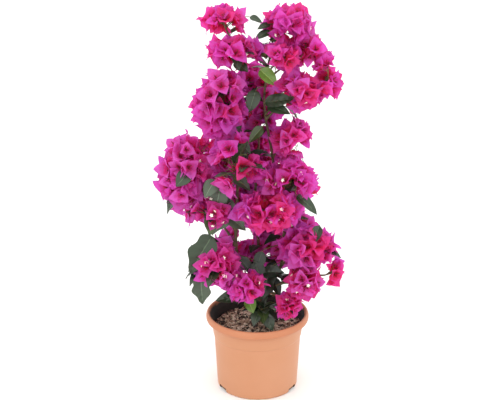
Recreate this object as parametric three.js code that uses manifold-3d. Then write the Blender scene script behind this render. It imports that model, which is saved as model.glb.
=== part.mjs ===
// A flowering bougainvillea bush in a moulded plastic pot: pot, potting soil, trunk, three main stems, a bough
// to each mass of blossom, and the masses themselves. Millimetres, +Z up, the front towards -Y. The origin is
// the centre of the pot's flat underside.
import * as THREE from "three";
import { mergeVertices } from "three/addons/utils/BufferGeometryUtils.js";
import Module from "manifold-3d";

const wasm = await Module();
wasm.setup();

const CLEAR = 0.3; // gap between touching solids
const SLIVER = 0.03; // the shortest edge that fusing may leave

// --- Pot and soil ---
const POT_HEIGHT = 145;
const RIM_RADIUS = 95;
const BASE_RADIUS = 74.5;
const WALL = 2;
const LIP_HEIGHT = 15;
const COLLAR_TOP_RADIUS = 85;
const BODY_TOP_RADIUS = 80;
const COLLAR_HEIGHT = 28;
const COLLAR_STEP = 1.5;
const LIP_FOOT = POT_HEIGHT - LIP_HEIGHT;
const COLLAR_FOOT = LIP_FOOT - COLLAR_HEIGHT;
const POT_SEGMENTS = 48;
const SLOT = { count: 3, width: 24, height: 8, depth: 5 };
const DRAIN = { count: 4, radius: 5, circle: 46, sides: 10 };
const SOIL_LEVEL = 122;
const SOIL_EDGE_LEVEL = 117;
const SOIL_FLAT_RADIUS = 16;
const SOIL_EDGE_WIDTH = 20; // of the band in which the soil falls away to the pot's wall

// --- Trunk and main stems: the points that each axis runs through, and the radii from root to tip ---
const TRUNK = {
  points: [[-6, 4, 118], [-4, 4, 134], [1, 3, 152], [9, 3, 174]],
  rootRadius: 9.5,
  neckRadius: 5.2,
  tipRadius: 4.4,
  flare: 0.3, // share of the length in which the root flare narrows to the neck
  sides: 12,
  steps: 10,
};
const STEM_SIDES = 8;
const STEM_STEPS = 14;
const STEMS = {
  stem_left: {
    points: [
      [5, 3, 164], [-18, 0, 196], [-38, 2, 256], [-37, 4, 352], [-33, 4, 448], [-27, 4, 540], [-28, 0, 607],
    ],
    rootRadius: 3.4,
    tipRadius: 1.7,
    carries: "upper_left",
  },
  stem_right: {
    points: [
      [7.5, 3, 170], [30, 0, 208], [50, 2, 262], [40, 4, 352], [25, 5, 448], [11, 6, 540], [22, 6, 632],
    ],
    rootRadius: 3.6,
    tipRadius: 1.7,
    carries: "top",
  },
  stem_back: {
    points: [[3, 4, 156], [4, 26, 196], [2, 42, 256], [-4, 46, 352], [0, 46, 420], [4, 50, 492]],
    rootRadius: 3.2,
    tipRadius: 1.8,
    carries: "back_upper",
  },
};

// --- Masses of blossom and leaves: the stem that carries each, its centre, radii and share of blossom ---
const MASSES = [
  { name: "top_left", stem: "stem_left", centre: [-59, 0, 683], radii: [44, 46, 28], blossom: 1 },
  { name: "top", stem: "stem_right", centre: [50, 5, 676], radii: [46, 52, 37], blossom: 1 },
  { name: "shoulder_right", stem: "stem_right", centre: [93, 12, 628], radii: [42, 52, 36], blossom: 1 },
  { name: "tip_right_high", stem: "stem_right", centre: [119, -10, 580], radii: [29, 42, 42], blossom: 1 },
  { name: "upper_middle", stem: "stem_right", centre: [36, -42, 626], radii: [36, 38, 30], blossom: 1 },
  { name: "upper_right", stem: "stem_right", centre: [70, -40, 572], radii: [48, 44, 36], blossom: 0.85 },
  { name: "upper_left", stem: "stem_left", centre: [-41, -22, 633], radii: [46, 48, 32], blossom: 0.85 },
  { name: "left_shoulder", stem: "stem_left", centre: [-66, -36, 548], radii: [54, 48, 57], blossom: 1 },
  { name: "right_waist", stem: "stem_right", centre: [58, -24, 482], radii: [40, 44, 38], blossom: 0.85 },
  { name: "left_side", stem: "stem_left", centre: [-135, -15, 413], radii: [50, 50, 72], blossom: 0.95 },
  { name: "middle_left", stem: "stem_left", centre: [-38, -62, 444], radii: [53, 46, 50], blossom: 0.85 },
  { name: "middle_right", stem: "stem_right", centre: [58, -50, 414], radii: [52, 46, 37], blossom: 0.95 },
  { name: "middle", stem: "stem_right", centre: [17, -85, 369], radii: [58, 44, 40], blossom: 1 },
  { name: "left_low", stem: "stem_left", centre: [-82, -42, 352], radii: [40, 40, 32], blossom: 0.5 },
  { name: "right_low", stem: "stem_right", centre: [89, -45, 289], radii: [58, 48, 41], blossom: 0.9 },
  { name: "tip_right_low", stem: "stem_right", centre: [134, -20, 231], radii: [29, 29, 26], blossom: 1 },
  { name: "right_bottom", stem: "stem_right", centre: [82, -60, 232], radii: [38, 42, 32], blossom: 1 },
  { name: "left_bottom", stem: "stem_left", centre: [-72, -52, 257], radii: [48, 46, 46], blossom: 0.8 },
  { name: "left_leaves", stem: "stem_left", centre: [-103, 2, 250], radii: [32, 34, 60], blossom: 0 },
  { name: "front_bottom", stem: "stem_left", centre: [-18, -72, 226], radii: [38, 36, 29], blossom: 0.9 },
  { name: "right_foot", stem: "stem_right", centre: [56, -62, 186], radii: [28, 28, 25], blossom: 1 },
  { name: "foot_leaves", stem: "trunk", centre: [8, -32, 163], radii: [32, 34, 28], blossom: 0 },
  { name: "back_bottom", stem: "stem_back", centre: [-8, 78, 240], radii: [70, 50, 46], blossom: 0.8 },
  { name: "back_low", stem: "stem_back", centre: [8, 98, 325], radii: [62, 48, 48], blossom: 0.85 },
  { name: "back_middle", stem: "stem_back", centre: [-28, 90, 422], radii: [66, 50, 54], blossom: 0.85 },
  { name: "back_upper", stem: "stem_back", centre: [10, 62, 541], radii: [60, 48, 60], blossom: 0.85 },
  { name: "back_left", stem: "stem_left", centre: [-102, 66, 335], radii: [46, 46, 55], blossom: 0.85 },
  { name: "back_right", stem: "stem_right", centre: [74, 64, 345], radii: [44, 48, 60], blossom: 0.85 },
];

// --- The growth rule ---
const BOUGH = {
  rootRadius: 2.5,
  tipRadius: 1.6,
  ofStem: 0.85, // the most that a bough's root may be of its stem's radius there
  sides: 5,
  steps: 4,
  rise: 0.5, // how far below its mass a bough starts, for each millimetre that it reaches sideways
  shortest: 18,
  firstShare: 0.06,
  lastShare: 0.97,
  entry: 0.75, // the depth in the mass's ellipsoid at which a bough ends, from 0 at the centre to 1 outside
  arch: 0.18,
};
const MASS_STEM = { tipRadius: 1.3, sides: 5, steps: 3, overshoot: 0.2, lead: 0.45 };
const TWIG = { radius: 0.9, lead: 0.3, firstShare: 0.2, lastShare: 0.95 };
const BRACT = {
  shortest: 26,
  longest: 33,
  share: 0.5, // a bract's length for each millimetre of its mass's mean radius, on top of the least
  least: 9,
  width: 0.92,
  waist: 0.48,
  open: 0.95, // radians between the flower's axis and a bract's rib
  cup: 4,
  calyx: 2.4,
  throat: 2.6,
};
const LEAF = {
  shortest: 34,
  longest: 52,
  width: 0.54,
  waist: 0.42,
  fold: 3,
  droop: 0.6,
  tilt: 0.4,
  stalk: 5,
  reach: 0.8, // how far inside the ellipsoid a twig with a leaf ends, as a share of the leaf's length
};
const SIDE_LEAVES = [{ along: 0.8, turn: 0 }, { along: 0.5, turn: Math.PI }];
const SIDE_LEAF_SIZE = 0.8;
const SIDE_LEAF_LEAN = 0.6;
const AXIS = { rise: 0.15, follow: 0.5, leastAlignment: 0.3 }; // how a flower leans from straight outwards
const TWIG_AREA = 1900; // square millimetres of a mass's outside for each twig
const FEWEST_TWIGS = 3;
const CANDIDATES = 12; // places tried for each twig that a mass is to have
const SPREAD = [0.7548776662466927, 0.5698402909980532]; // powers of the plastic number, for an even sequence
const PULL_IN = [1, 0.85, 0.7, 0.55]; // shares of the full reach at which a twig is tried
const ROLL_PER_TRY = 2; // radians that a flower turns on its twig over the full reach, so that tries differ
const DEEPEST = 0.9; // the furthest that a twig ends inside the ellipsoid, as a share of the mean radius
const REACH_MARGIN = 7; // how far a tip may pass its mass's ellipsoid
const LIMB_CLEARANCE = 3.5; // from the sample points of a leaf or a bract to a limb's surface
const TWIG_CLEARANCE = 1.8;
const POT_CLEARANCE = 2.5;
const LIMB_SPACING = 4; // between the sample points of a limb
const PATH_SPACING = 3; // between those of a twig
const ELBOW_ROOM = 2; // between the sample points of two pieces of a mass
const JOINT_FACES = 26; // the most faces that fusing a piece may add: more show that it crosses another
const SEED = 41;
const SEED_STEP = 97;

const UP = new THREE.Vector3(0, 0, 1);
const vector = (values) => new THREE.Vector3(...values);
const between = (a, b, share) => a.clone().lerp(b, share);
const clamp = THREE.MathUtils.clamp;

// A repeatable stream of numbers from 0 to 1 (mulberry32).
function seeded(seed) {
  let state = seed >>> 0;
  return () => {
    state = (state + 0x6d2b79f5) >>> 0;
    let t = Math.imul(state ^ (state >>> 15), 1 | state);
    t = (t + Math.imul(t ^ (t >>> 7), 61 | t)) ^ t;
    return ((t ^ (t >>> 14)) >>> 0) / 4294967296;
  };
}

// --- Solids ---
function solidOf(geometry) {
  const plain = geometry.clone();
  plain.deleteAttribute("normal");
  plain.deleteAttribute("uv");
  const merged = mergeVertices(plain, 1e-4);
  const mesh = new wasm.Mesh({
    numProp: 3,
    vertProperties: merged.attributes.position.array,
    triVerts: new Uint32Array(merged.index.array),
  });
  return new wasm.Manifold(mesh);
}

function geometryOf(solid) {
  const { vertProperties, triVerts } = solid.getMesh();
  const geometry = new THREE.BufferGeometry();
  geometry.setAttribute("position", new THREE.BufferAttribute(vertProperties, 3));
  geometry.setIndex(new THREE.BufferAttribute(triVerts, 1));
  geometry.computeVertexNormals();
  return geometry;
}

function geometryFrom(points, faces) {
  const geometry = new THREE.BufferGeometry();
  geometry.setFromPoints(points);
  geometry.setIndex(faces.flat());
  return geometry;
}

// A cylinder bent along a curve, with its radius worked out at each step, and grown on all sides where asked.
function limbGeometry(curve, radiusAt, sides, steps, grow = 0) {
  const frames = [];
  const side = new THREE.Vector3(1, 0.13, 0);
  for (let step = 0; step <= steps; step += 1) {
    const tangent = curve.getTangent(step / steps);
    side.addScaledVector(tangent, -side.dot(tangent)).normalize();
    frames.push({ at: curve.getPoint(step / steps), side: side.clone(), across: side.clone().cross(tangent) });
  }
  frames[0].at.addScaledVector(curve.getTangent(0), -grow);
  frames[steps].at.addScaledVector(curve.getTangent(1), grow);
  const geometry = new THREE.CylinderGeometry(1, 1, 1, sides, steps);
  const position = geometry.attributes.position;
  for (let i = 0; i < position.count; i += 1) {
    const share = position.getY(i) + 0.5;
    const frame = frames[Math.round(share * steps)];
    const radius = radiusAt(share) + grow;
    const point = frame.at.clone();
    point.addScaledVector(frame.side, position.getX(i) * radius);
    point.addScaledVector(frame.across, position.getZ(i) * radius);
    position.setXYZ(i, point.x, point.y, point.z);
  }
  return geometry;
}

// --- Pot and soil ---
function latheAboutZ(profile, segments) {
  const geometry = new THREE.LatheGeometry(profile.map(([r, z]) => new THREE.Vector2(r, z)), segments);
  return geometry.rotateX(Math.PI / 2);
}

function potSolid() {
  const profile = [
    [0, 0],
    [BASE_RADIUS - 2, 0],
    [BASE_RADIUS, 2],
    [BODY_TOP_RADIUS, COLLAR_FOOT - 1],
    [BODY_TOP_RADIUS + COLLAR_STEP, COLLAR_FOOT + 1],
    [COLLAR_TOP_RADIUS, LIP_FOOT],
    [RIM_RADIUS - 2.5, LIP_FOOT + 0.5],
    [RIM_RADIUS - 0.5, LIP_FOOT + 3],
    [RIM_RADIUS, LIP_FOOT + 8],
    [RIM_RADIUS - 1, POT_HEIGHT - 2.5],
    [RIM_RADIUS - 3.5, POT_HEIGHT],
    [RIM_RADIUS - 6.5, POT_HEIGHT - 1],
    [COLLAR_TOP_RADIUS + 1, LIP_FOOT + 6],
    [COLLAR_TOP_RADIUS - WALL, LIP_FOOT],
    [BODY_TOP_RADIUS - WALL, COLLAR_FOOT],
    [BASE_RADIUS - WALL, WALL + 2],
    [BASE_RADIUS - WALL - 2, WALL],
    [0, WALL],
  ];
  let pot = solidOf(latheAboutZ(profile, POT_SEGMENTS));
  for (let i = 0; i < SLOT.count; i += 1) {
    const slot = new THREE.BoxGeometry(SLOT.width, 2 * SLOT.depth, 2 * SLOT.height);
    slot.translate(0, BASE_RADIUS, 0).rotateZ((2 * Math.PI * i) / SLOT.count);
    pot = pot.subtract(solidOf(slot));
  }
  for (let i = 0; i < DRAIN.count; i += 1) {
    const hole = new THREE.CylinderGeometry(DRAIN.radius, DRAIN.radius, 3 * WALL, DRAIN.sides);
    hole.rotateX(Math.PI / 2);
    hole.translate(DRAIN.circle, 0, WALL / 2).rotateZ((2 * Math.PI * (i + 0.5)) / DRAIN.count);
    pot = pot.subtract(solidOf(hole));
  }
  return pot;
}

function soilSolid() {
  const body = { foot: BASE_RADIUS - WALL - CLEAR, top: BODY_TOP_RADIUS - WALL - CLEAR };
  const edge = THREE.MathUtils.mapLinear(
    SOIL_EDGE_LEVEL, COLLAR_FOOT, LIP_FOOT, body.top, COLLAR_TOP_RADIUS - WALL - CLEAR,
  );
  const profile = [
    [0, WALL + CLEAR],
    [body.foot - 2, WALL + CLEAR],
    [body.foot, WALL + 2],
    [body.top, COLLAR_FOOT],
    [edge, SOIL_EDGE_LEVEL],
    [edge - SOIL_EDGE_WIDTH, SOIL_LEVEL - 2],
    [SOIL_FLAT_RADIUS, SOIL_LEVEL],
    [0, SOIL_LEVEL],
  ];
  return solidOf(latheAboutZ(profile, POT_SEGMENTS));
}

// --- Limbs: each has its axis, its radius from root to tip, and sampled points for the clearance test ---
function makeLimb(curve, radiusAt, sides, steps) {
  const samples = [];
  const count = Math.ceil(curve.getLength() / LIMB_SPACING);
  for (let i = 0; i <= count; i += 1) {
    samples.push({ at: curve.getPoint(i / count), radius: radiusAt(i / count) });
  }
  const solid = solidOf(limbGeometry(curve, radiusAt, sides, steps));
  const grown = solidOf(limbGeometry(curve, radiusAt, sides, steps, CLEAR));
  return { curve, radiusAt, samples, solid, grown };
}

const taper = (root, tip) => (share) => THREE.MathUtils.lerp(root, tip, share);

function trunkRadiusAt(share) {
  if (share < TRUNK.flare) {
    const along = share / TRUNK.flare;
    return TRUNK.neckRadius + (TRUNK.rootRadius - TRUNK.neckRadius) * (1 - along) ** 2;
  }
  return THREE.MathUtils.lerp(TRUNK.neckRadius, TRUNK.tipRadius, (share - TRUNK.flare) / (1 - TRUNK.flare));
}

function catmullRom(points) {
  return new THREE.CatmullRomCurve3(points.map(vector), false, "catmullrom", 0.5);
}

function makeTrunk() {
  const trunk = makeLimb(catmullRom(TRUNK.points), trunkRadiusAt, TRUNK.sides, TRUNK.steps);
  // The foot is cut flat at ground level.
  const width = 6 * TRUNK.rootRadius;
  const ground = new THREE.BoxGeometry(width, width, width).translate(0, 0, SOIL_LEVEL + CLEAR - width / 2);
  trunk.solid = trunk.solid.subtract(solidOf(ground));
  return trunk;
}

// The point of a rising axis at a height, found by halving.
function axisAtHeight(curve, height) {
  let low = 0;
  let high = 1;
  for (let i = 0; i < 30; i += 1) {
    const middle = (low + high) / 2;
    if (curve.getPoint(middle).z < height) low = middle;
    else high = middle;
  }
  return low;
}

// A bough leaves its stem below the mass, rises outwards and ends where it enters the mass.
function makeBough(mass, stem) {
  const centre = vector(mass.centre);
  const level = stem.curve.getPoint(axisAtHeight(stem.curve, mass.centre[2]));
  const reach = Math.hypot(centre.x - level.x, centre.y - level.y);
  const height = mass.centre[2] - BOUGH.shortest - BOUGH.rise * reach;
  const share = clamp(axisAtHeight(stem.curve, height), BOUGH.firstShare, BOUGH.lastShare);
  const root = stem.curve.getPoint(share);
  const back = root.clone().sub(centre);
  const depth = Math.hypot(...back.toArray().map((x, i) => x / mass.radii[i]));
  const tip = centre.clone().addScaledVector(back, Math.min(1, BOUGH.entry / depth));
  const middle = between(root, tip, 0.5);
  middle.addScaledVector(UP, BOUGH.arch * root.distanceTo(tip));
  const curve = new THREE.QuadraticBezierCurve3(root, middle, tip);
  const rootRadius = Math.min(BOUGH.rootRadius, stem.radiusAt(share) * BOUGH.ofStem);
  return makeLimb(curve, taper(rootRadius, BOUGH.tipRadius), BOUGH.sides, BOUGH.steps);
}

// --- Leaves and flowers: each is one closed mesh with the three-sided stalk that it ends ---
// The stalk's ring at its root, and the ring of the given radius that looks along an axis at its end.
function stalkPoints(stalk, axis, endRadius, sides) {
  const ring = (at, tangent, radius) =>
    sides.map((side) => {
      const level = side.clone().addScaledVector(tangent, -side.dot(tangent)).normalize();
      return at.clone().addScaledVector(level, radius);
    });
  return [...ring(stalk.v1, stalk.getTangent(0), TWIG.radius), ...ring(stalk.v2, axis, endRadius)];
}

const STALK_FACES = [[0, 2, 1]];
for (let k = 0; k < 3; k += 1) {
  const next = (k + 1) % 3;
  STALK_FACES.push([k, next, 3 + next], [k, 3 + next, 3 + k]);
}

// The stalk widens to a calyx with a throat above it. Round it stand three bracts, each with a left shoulder, a
// tip and a right shoulder, folded along its rib.
function flowerOn(stalk, axis, length, roll) {
  const hub = stalk.v2;
  const first = new THREE.Vector3(1, 0.3, 0.2).cross(axis).normalize().applyAxisAngle(axis, roll);
  const towards = (thirds) => first.clone().applyAxisAngle(axis, (2 * Math.PI * thirds) / 3);
  const points = stalkPoints(stalk, axis, BRACT.calyx, [-0.5, 0.5, 1.5].map(towards));
  const throat = points.length;
  points.push(hub.clone().addScaledVector(axis, BRACT.throat));
  const faces = [...STALK_FACES];
  const blades = [];
  for (let k = 0; k < 3; k += 1) {
    const outward = towards(k);
    const across = axis.clone().cross(outward).multiplyScalar((length * BRACT.width) / 2);
    const rib = outward.multiplyScalar(Math.sin(BRACT.open)).addScaledVector(axis, Math.cos(BRACT.open));
    const waist = hub.clone().addScaledVector(rib, length * BRACT.waist).addScaledVector(axis, BRACT.cup);
    const left = points.push(waist.clone().sub(across)) - 1;
    const tip = points.push(hub.clone().addScaledVector(rib, length)) - 1;
    const right = points.push(waist.clone().add(across)) - 1;
    const here = 3 + k;
    const next = 3 + ((k + 1) % 3);
    blades.push([throat, here, left], [throat, left, tip], [throat, tip, right], [throat, right, next]);
    faces.push([here, next, tip], [next, right, tip], [here, tip, left]);
  }
  return { points, faces: [...faces, ...blades], blades };
}

// A blade folded along its keel. It leaves the stalk in the given direction and droops, with its face up.
function leafOn(stalk, direction, length) {
  const base = stalk.v2;
  const along = direction.clone().addScaledVector(UP, -LEAF.droop).normalize();
  const normal = UP.clone().addScaledVector(direction, LEAF.tilt);
  normal.addScaledVector(along, -normal.dot(along)).normalize();
  const across = normal.clone().cross(along);
  const sides = [Math.PI / 6, (5 * Math.PI) / 6, (3 * Math.PI) / 2].map((angle) =>
    across.clone().applyAxisAngle(along, angle),
  );
  const points = stalkPoints(stalk, along, TWIG.radius, sides);
  const [first, second, keel] = [3, 4, 5];
  const waist = base.clone().addScaledVector(along, length * LEAF.waist).addScaledVector(normal, LEAF.fold);
  const near = points.push(waist.clone().addScaledVector(across, (length * LEAF.width) / 2)) - 1;
  const tip = points.push(base.clone().addScaledVector(along, length).addScaledVector(normal, -LEAF.fold)) - 1;
  const far = points.push(waist.clone().addScaledVector(across, (-length * LEAF.width) / 2)) - 1;
  const blades = [[first, second, tip], [first, tip, near], [second, far, tip]];
  const under = [[keel, first, near], [keel, near, tip], [keel, tip, far], [keel, far, second]];
  return { points, faces: [...STALK_FACES, ...blades, ...under], blades };
}

// --- The space of each mass: its ellipsoid, on its own side of the plane towards each neighbour ---
function supportRadius(mass, direction) {
  return direction.clone().multiply(vector(mass.radii)).length();
}

function bordersOf(mass) {
  return MASSES.filter((other) => other !== mass).map((other) => {
    const towards = vector(other.centre).sub(vector(mass.centre));
    const distance = towards.length();
    towards.normalize();
    const own = supportRadius(mass, towards);
    const limit = (distance * own) / (own + supportRadius(other, towards)) - CLEAR;
    return { towards, limit };
  });
}

// Leaves hang over the soil, over the rim, or outside the rim no lower than halfway down the pot.
function clearOfPot(point) {
  const radius = Math.hypot(point.x, point.y);
  if (radius > RIM_RADIUS + POT_CLEARANCE) return point.z > POT_HEIGHT / 2;
  const isOverRim = radius > COLLAR_TOP_RADIUS - WALL - POT_CLEARANCE;
  return point.z > (isOverRim ? POT_HEIGHT : SOIL_LEVEL) + POT_CLEARANCE;
}

function inSpace(mass, points) {
  const outer = vector(mass.radii).addScalar(REACH_MARGIN);
  return points.every((point) => {
    const from = point.clone().sub(vector(mass.centre));
    if (from.clone().divide(outer).length() > 1 || !clearOfPot(point)) return false;
    return mass.borders.every((border) => from.dot(border.towards) < border.limit);
  });
}

// True where no point comes within the clearance of a ball.
function clearOf(points, balls, clearance) {
  return points.every((point) => balls.every((ball) => ball.at.distanceTo(point) > ball.radius + clearance));
}

// The corners of a blade's upper faces, with the middle of each face and of its edges.
function sampled(piece) {
  return piece.blades.flatMap((corners) => {
    const [first, second, third] = corners.map((corner) => piece.points[corner]);
    const middle = first.clone().add(second).add(third).divideScalar(3);
    return [second, third, middle, between(first, second, 0.5), between(second, third, 0.5)];
  });
}

// --- A mass: one stem that grows on from its bough, and twigs that leave it, each with a flower or leaves ---
function massStem(mass, bough) {
  const centre = vector(mass.centre);
  const heading = bough.curve.getTangent(1);
  const root = bough.curve.getPoint(1).addScaledVector(heading, CLEAR);
  const tip = centre.clone().addScaledVector(centre.clone().sub(root), MASS_STEM.overshoot);
  const control = root.clone().addScaledVector(heading, root.distanceTo(tip) * MASS_STEM.lead);
  return new THREE.QuadraticBezierCurve3(root, control, tip);
}

// A straight twig leaves the stem a little before the point that is level with its target.
function twigTo(stem, target) {
  const root = stem.getPoint(0);
  const line = stem.getPoint(1).sub(root);
  const along = target.clone().sub(root).dot(line) / line.lengthSq();
  const share = clamp(along - TWIG.lead, TWIG.firstShare, TWIG.lastShare);
  return new THREE.LineCurve3(stem.getPoint(share), target);
}

function surfaceArea([a, b, c]) {
  const power = 1.6075; // Thomsen's rule
  const mean = ((a * b) ** power + (a * c) ** power + (b * c) ** power) / 3;
  return 4 * Math.PI * mean ** (1 / power);
}

// Directions in a sequence whose every stretch is spread evenly over the sphere.
function evenDirection(start, i) {
  const height = 1 - 2 * ((start[0] + i * SPREAD[0]) % 1);
  const angle = 2 * Math.PI * ((start[1] + i * SPREAD[1]) % 1);
  const level = Math.sqrt(1 - height * height);
  return new THREE.Vector3(Math.cos(angle) * level, Math.sin(angle) * level, height);
}

// The state of a mass as it grows: its stem, the sizes and depths of its bracts and leaves, what it keeps clear
// of, and the solid.
function startGrowth(mass, bough, limbs) {
  const meanRadius = (mass.radii[0] + mass.radii[1] + mass.radii[2]) / 3;
  const bract = clamp(BRACT.share * meanRadius + BRACT.least, BRACT.shortest, BRACT.longest);
  const leaf = clamp(meanRadius, LEAF.shortest, LEAF.longest);
  const spread = bract * Math.sin(BRACT.open);
  const flowerDepth = bract * Math.cos(BRACT.open) + spread ** 2 / (2 * meanRadius);
  const stem = massStem(mass, bough);
  const radiusAt = taper(bough.radiusAt(1), MASS_STEM.tipRadius);
  return {
    mass,
    stem,
    bract,
    leaf,
    flowerDepth: Math.min(flowerDepth, DEEPEST * meanRadius),
    leafDepth: Math.min(LEAF.reach * leaf, DEEPEST * meanRadius),
    limbSamples: limbs.flatMap((limb) => limb.samples),
    ownSamples: [],
    crown: solidOf(limbGeometry(stem, radiusAt, MASS_STEM.sides, MASS_STEM.steps)),
  };
}

// Fuses a flower or a leaf on where it keeps to the mass's space, clear of limbs and of the pieces before it.
function fuse(growth, piece) {
  const corners = piece.blades.flat().map((corner) => piece.points[corner]);
  if (!inSpace(growth.mass, corners)) return false;
  const samples = sampled(piece);
  if (!clearOf(samples, growth.limbSamples, LIMB_CLEARANCE)) return false;
  if (!clearOf(samples, growth.ownSamples, ELBOW_ROOM)) return false;
  const solid = solidOf(geometryFrom(piece.points, piece.faces));
  const joined = growth.crown.add(solid);
  if (joined.numTri() > growth.crown.numTri() + solid.numTri() + JOINT_FACES) return false;
  growth.crown = joined;
  growth.ownSamples.push(...samples.map((at) => ({ at, radius: 0 })));
  return true;
}

function fuseSideLeaves(growth, twig, turn) {
  const tangent = twig.getTangent(0);
  for (const place of SIDE_LEAVES) {
    const heading = tangent.clone().cross(UP).normalize().applyAxisAngle(tangent, turn + place.turn);
    heading.addScaledVector(tangent, SIDE_LEAF_LEAN).normalize();
    const root = twig.getPoint(place.along);
    const stalk = new THREE.LineCurve3(root, root.clone().addScaledVector(heading, LEAF.stalk));
    fuse(growth, leafOn(stalk, heading, SIDE_LEAF_SIZE * growth.leaf));
  }
}

// A twig towards a place on the outside of the mass, tried again further in where it doesn't fit.
function growTwig(growth, direction, draw) {
  const { mass, stem } = growth;
  const radii = vector(mass.radii);
  const outward = direction.clone().divide(radii).normalize();
  const roll = 2 * Math.PI * draw();
  const leafTurn = 2 * Math.PI * draw();
  const flowers = draw() < mass.blossom;
  const outermost = direction.clone().multiply(radii);
  outermost.addScaledVector(outward, -(flowers ? growth.flowerDepth : growth.leafDepth));
  for (const share of PULL_IN) {
    const hub = outermost.clone().multiplyScalar(share).add(vector(mass.centre));
    const twig = twigTo(stem, hub);
    const heading = twig.getTangent(1);
    const axis = outward.clone().addScaledVector(UP, AXIS.rise).addScaledVector(heading, AXIS.follow);
    axis.normalize();
    const path = twig.getPoints(Math.ceil(twig.getLength() / PATH_SPACING));
    const free = clearOf(path, growth.limbSamples, TWIG_CLEARANCE) && inSpace(mass, path);
    if (!free || axis.dot(heading) < AXIS.leastAlignment) continue;
    const end = flowers
      ? flowerOn(twig, axis, growth.bract, roll + ROLL_PER_TRY * share)
      : leafOn(twig, axis, growth.leaf);
    if (!fuse(growth, end)) continue;
    fuseSideLeaves(growth, twig, leafTurn);
    return true;
  }
  return false;
}

function growMass(mass, index, bough, limbs) {
  const draw = seeded(SEED + SEED_STEP * index);
  const growth = startGrowth(mass, bough, limbs);
  const wanted = Math.max(FEWEST_TWIGS, Math.round(surfaceArea(mass.radii) / TWIG_AREA));
  const start = [draw(), draw()];
  let grown = 0;
  for (let i = 0; i < CANDIDATES * wanted && grown < wanted; i += 1) {
    if (growTwig(growth, evenDirection(start, i), draw)) grown += 1;
  }
  return wholeOf(growth.crown);
}

// The largest shell alone, without slivers: it fills a sealed hollow between leaves and drops a loose scrap.
function wholeOf(solid) {
  const largest = solid.decompose().reduce((best, shell) => (shell.volume() > best.volume() ? shell : best));
  return largest.simplify(SLIVER);
}

// --- Materials and assembly ---
const material = (color, roughness) => new THREE.MeshStandardMaterial({ color, roughness, metalness: 0 });
const potMaterial = material(0xd98f66, 0.5);
const soilMaterial = material(0x33241f, 0.95);
const barkMaterial = material(0x5c4a3a, 0.85);
const blossomMaterial = material(0xc42b94, 0.6);
const leafMaterial = material(0x3d5a35, 0.5);

const bush = new THREE.Group();

function place(name, solid, nodeMaterial) {
  const mesh = new THREE.Mesh(geometryOf(solid), nodeMaterial);
  mesh.name = name;
  bush.add(mesh);
}

place("pot", potSolid(), potMaterial);
place("soil", soilSolid(), soilMaterial);

const limbs = [makeTrunk()];
place("trunk", limbs[0].solid, barkMaterial);

// Each later limb is cut clear of the one that it leaves and of any that it passes.
function placeLimb(name, limb) {
  const solid = limbs.reduce((whole, earlier) => whole.subtract(earlier.grown), limb.solid);
  place(name, wholeOf(solid), barkMaterial);
  limbs.push(limb);
}

const stems = { trunk: limbs[0] };
for (const [name, stem] of Object.entries(STEMS)) {
  const radiusAt = taper(stem.rootRadius, stem.tipRadius);
  const limb = makeLimb(catmullRom(stem.points), radiusAt, STEM_SIDES, STEM_STEPS);
  placeLimb(name, limb);
  stems[name] = limb;
}

const boughs = new Map();
for (const mass of MASSES) {
  if (STEMS[mass.stem]?.carries === mass.name) {
    boughs.set(mass, stems[mass.stem]);
    continue;
  }
  const bough = makeBough(mass, stems[mass.stem]);
  placeLimb("bough_" + mass.name, bough);
  boughs.set(mass, bough);
}

for (const mass of MASSES) mass.borders = bordersOf(mass);

MASSES.forEach((mass, index) => {
  const solid = growMass(mass, index, boughs.get(mass), limbs);
  place("mass_" + mass.name, solid, mass.blossom ? blossomMaterial : leafMaterial);
});

export default bush;
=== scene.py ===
"""A flowering bougainvillea bush in a moulded plastic pot, dressed around its solids.

The limbs, the space of each mass and the growth rule repeat those of the solids, in millimetres. Each
twig then goes on into finer ones. Meshes turn to metres as they are made. +Z is up, and the front is
towards -Y.
"""

import math
from collections import namedtuple
from types import SimpleNamespace

import bmesh
import bpy
import numpy as np
from mathutils import Matrix, Vector, noise


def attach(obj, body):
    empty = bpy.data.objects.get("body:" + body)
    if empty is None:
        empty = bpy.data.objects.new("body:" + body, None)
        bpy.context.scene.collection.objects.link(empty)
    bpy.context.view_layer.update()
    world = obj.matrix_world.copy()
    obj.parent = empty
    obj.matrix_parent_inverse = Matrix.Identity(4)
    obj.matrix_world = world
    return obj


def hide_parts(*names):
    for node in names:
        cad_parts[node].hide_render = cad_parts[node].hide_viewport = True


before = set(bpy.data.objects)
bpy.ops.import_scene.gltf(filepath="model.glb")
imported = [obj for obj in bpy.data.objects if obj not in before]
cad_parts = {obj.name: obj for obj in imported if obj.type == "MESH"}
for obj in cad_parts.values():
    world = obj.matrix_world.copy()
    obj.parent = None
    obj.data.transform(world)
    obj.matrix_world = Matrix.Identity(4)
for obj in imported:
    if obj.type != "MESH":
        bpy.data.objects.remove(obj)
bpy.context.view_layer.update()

METRES = 0.001
UP = Vector((0, 0, 1))
SEED = 41
SEED_STEP = 97
FINE_SEED = 5000  # added to a mass's seed for its finer twigs

# --- Pot and soil, as in the solids ---
POT_HEIGHT = 145
RIM_RADIUS = 95
BASE_RADIUS = 74.5
WALL = 2
LIP_FOOT = 130
COLLAR_FOOT = 102
COLLAR_TOP_RADIUS = 85
BODY_TOP_RADIUS = 80
COLLAR_STEP = 1.5
POT_SEGMENTS = 144
SHARPEST = math.radians(35)  # edges of the pot with a larger angle stay sharp
SLOT = SimpleNamespace(count=3, width=24, height=8, depth=5, rounding=2.5)
DRAIN = SimpleNamespace(count=4, radius=5, circle=46)
SOIL_LEVEL = 122
SOIL_EDGE_LEVEL = 117

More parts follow.
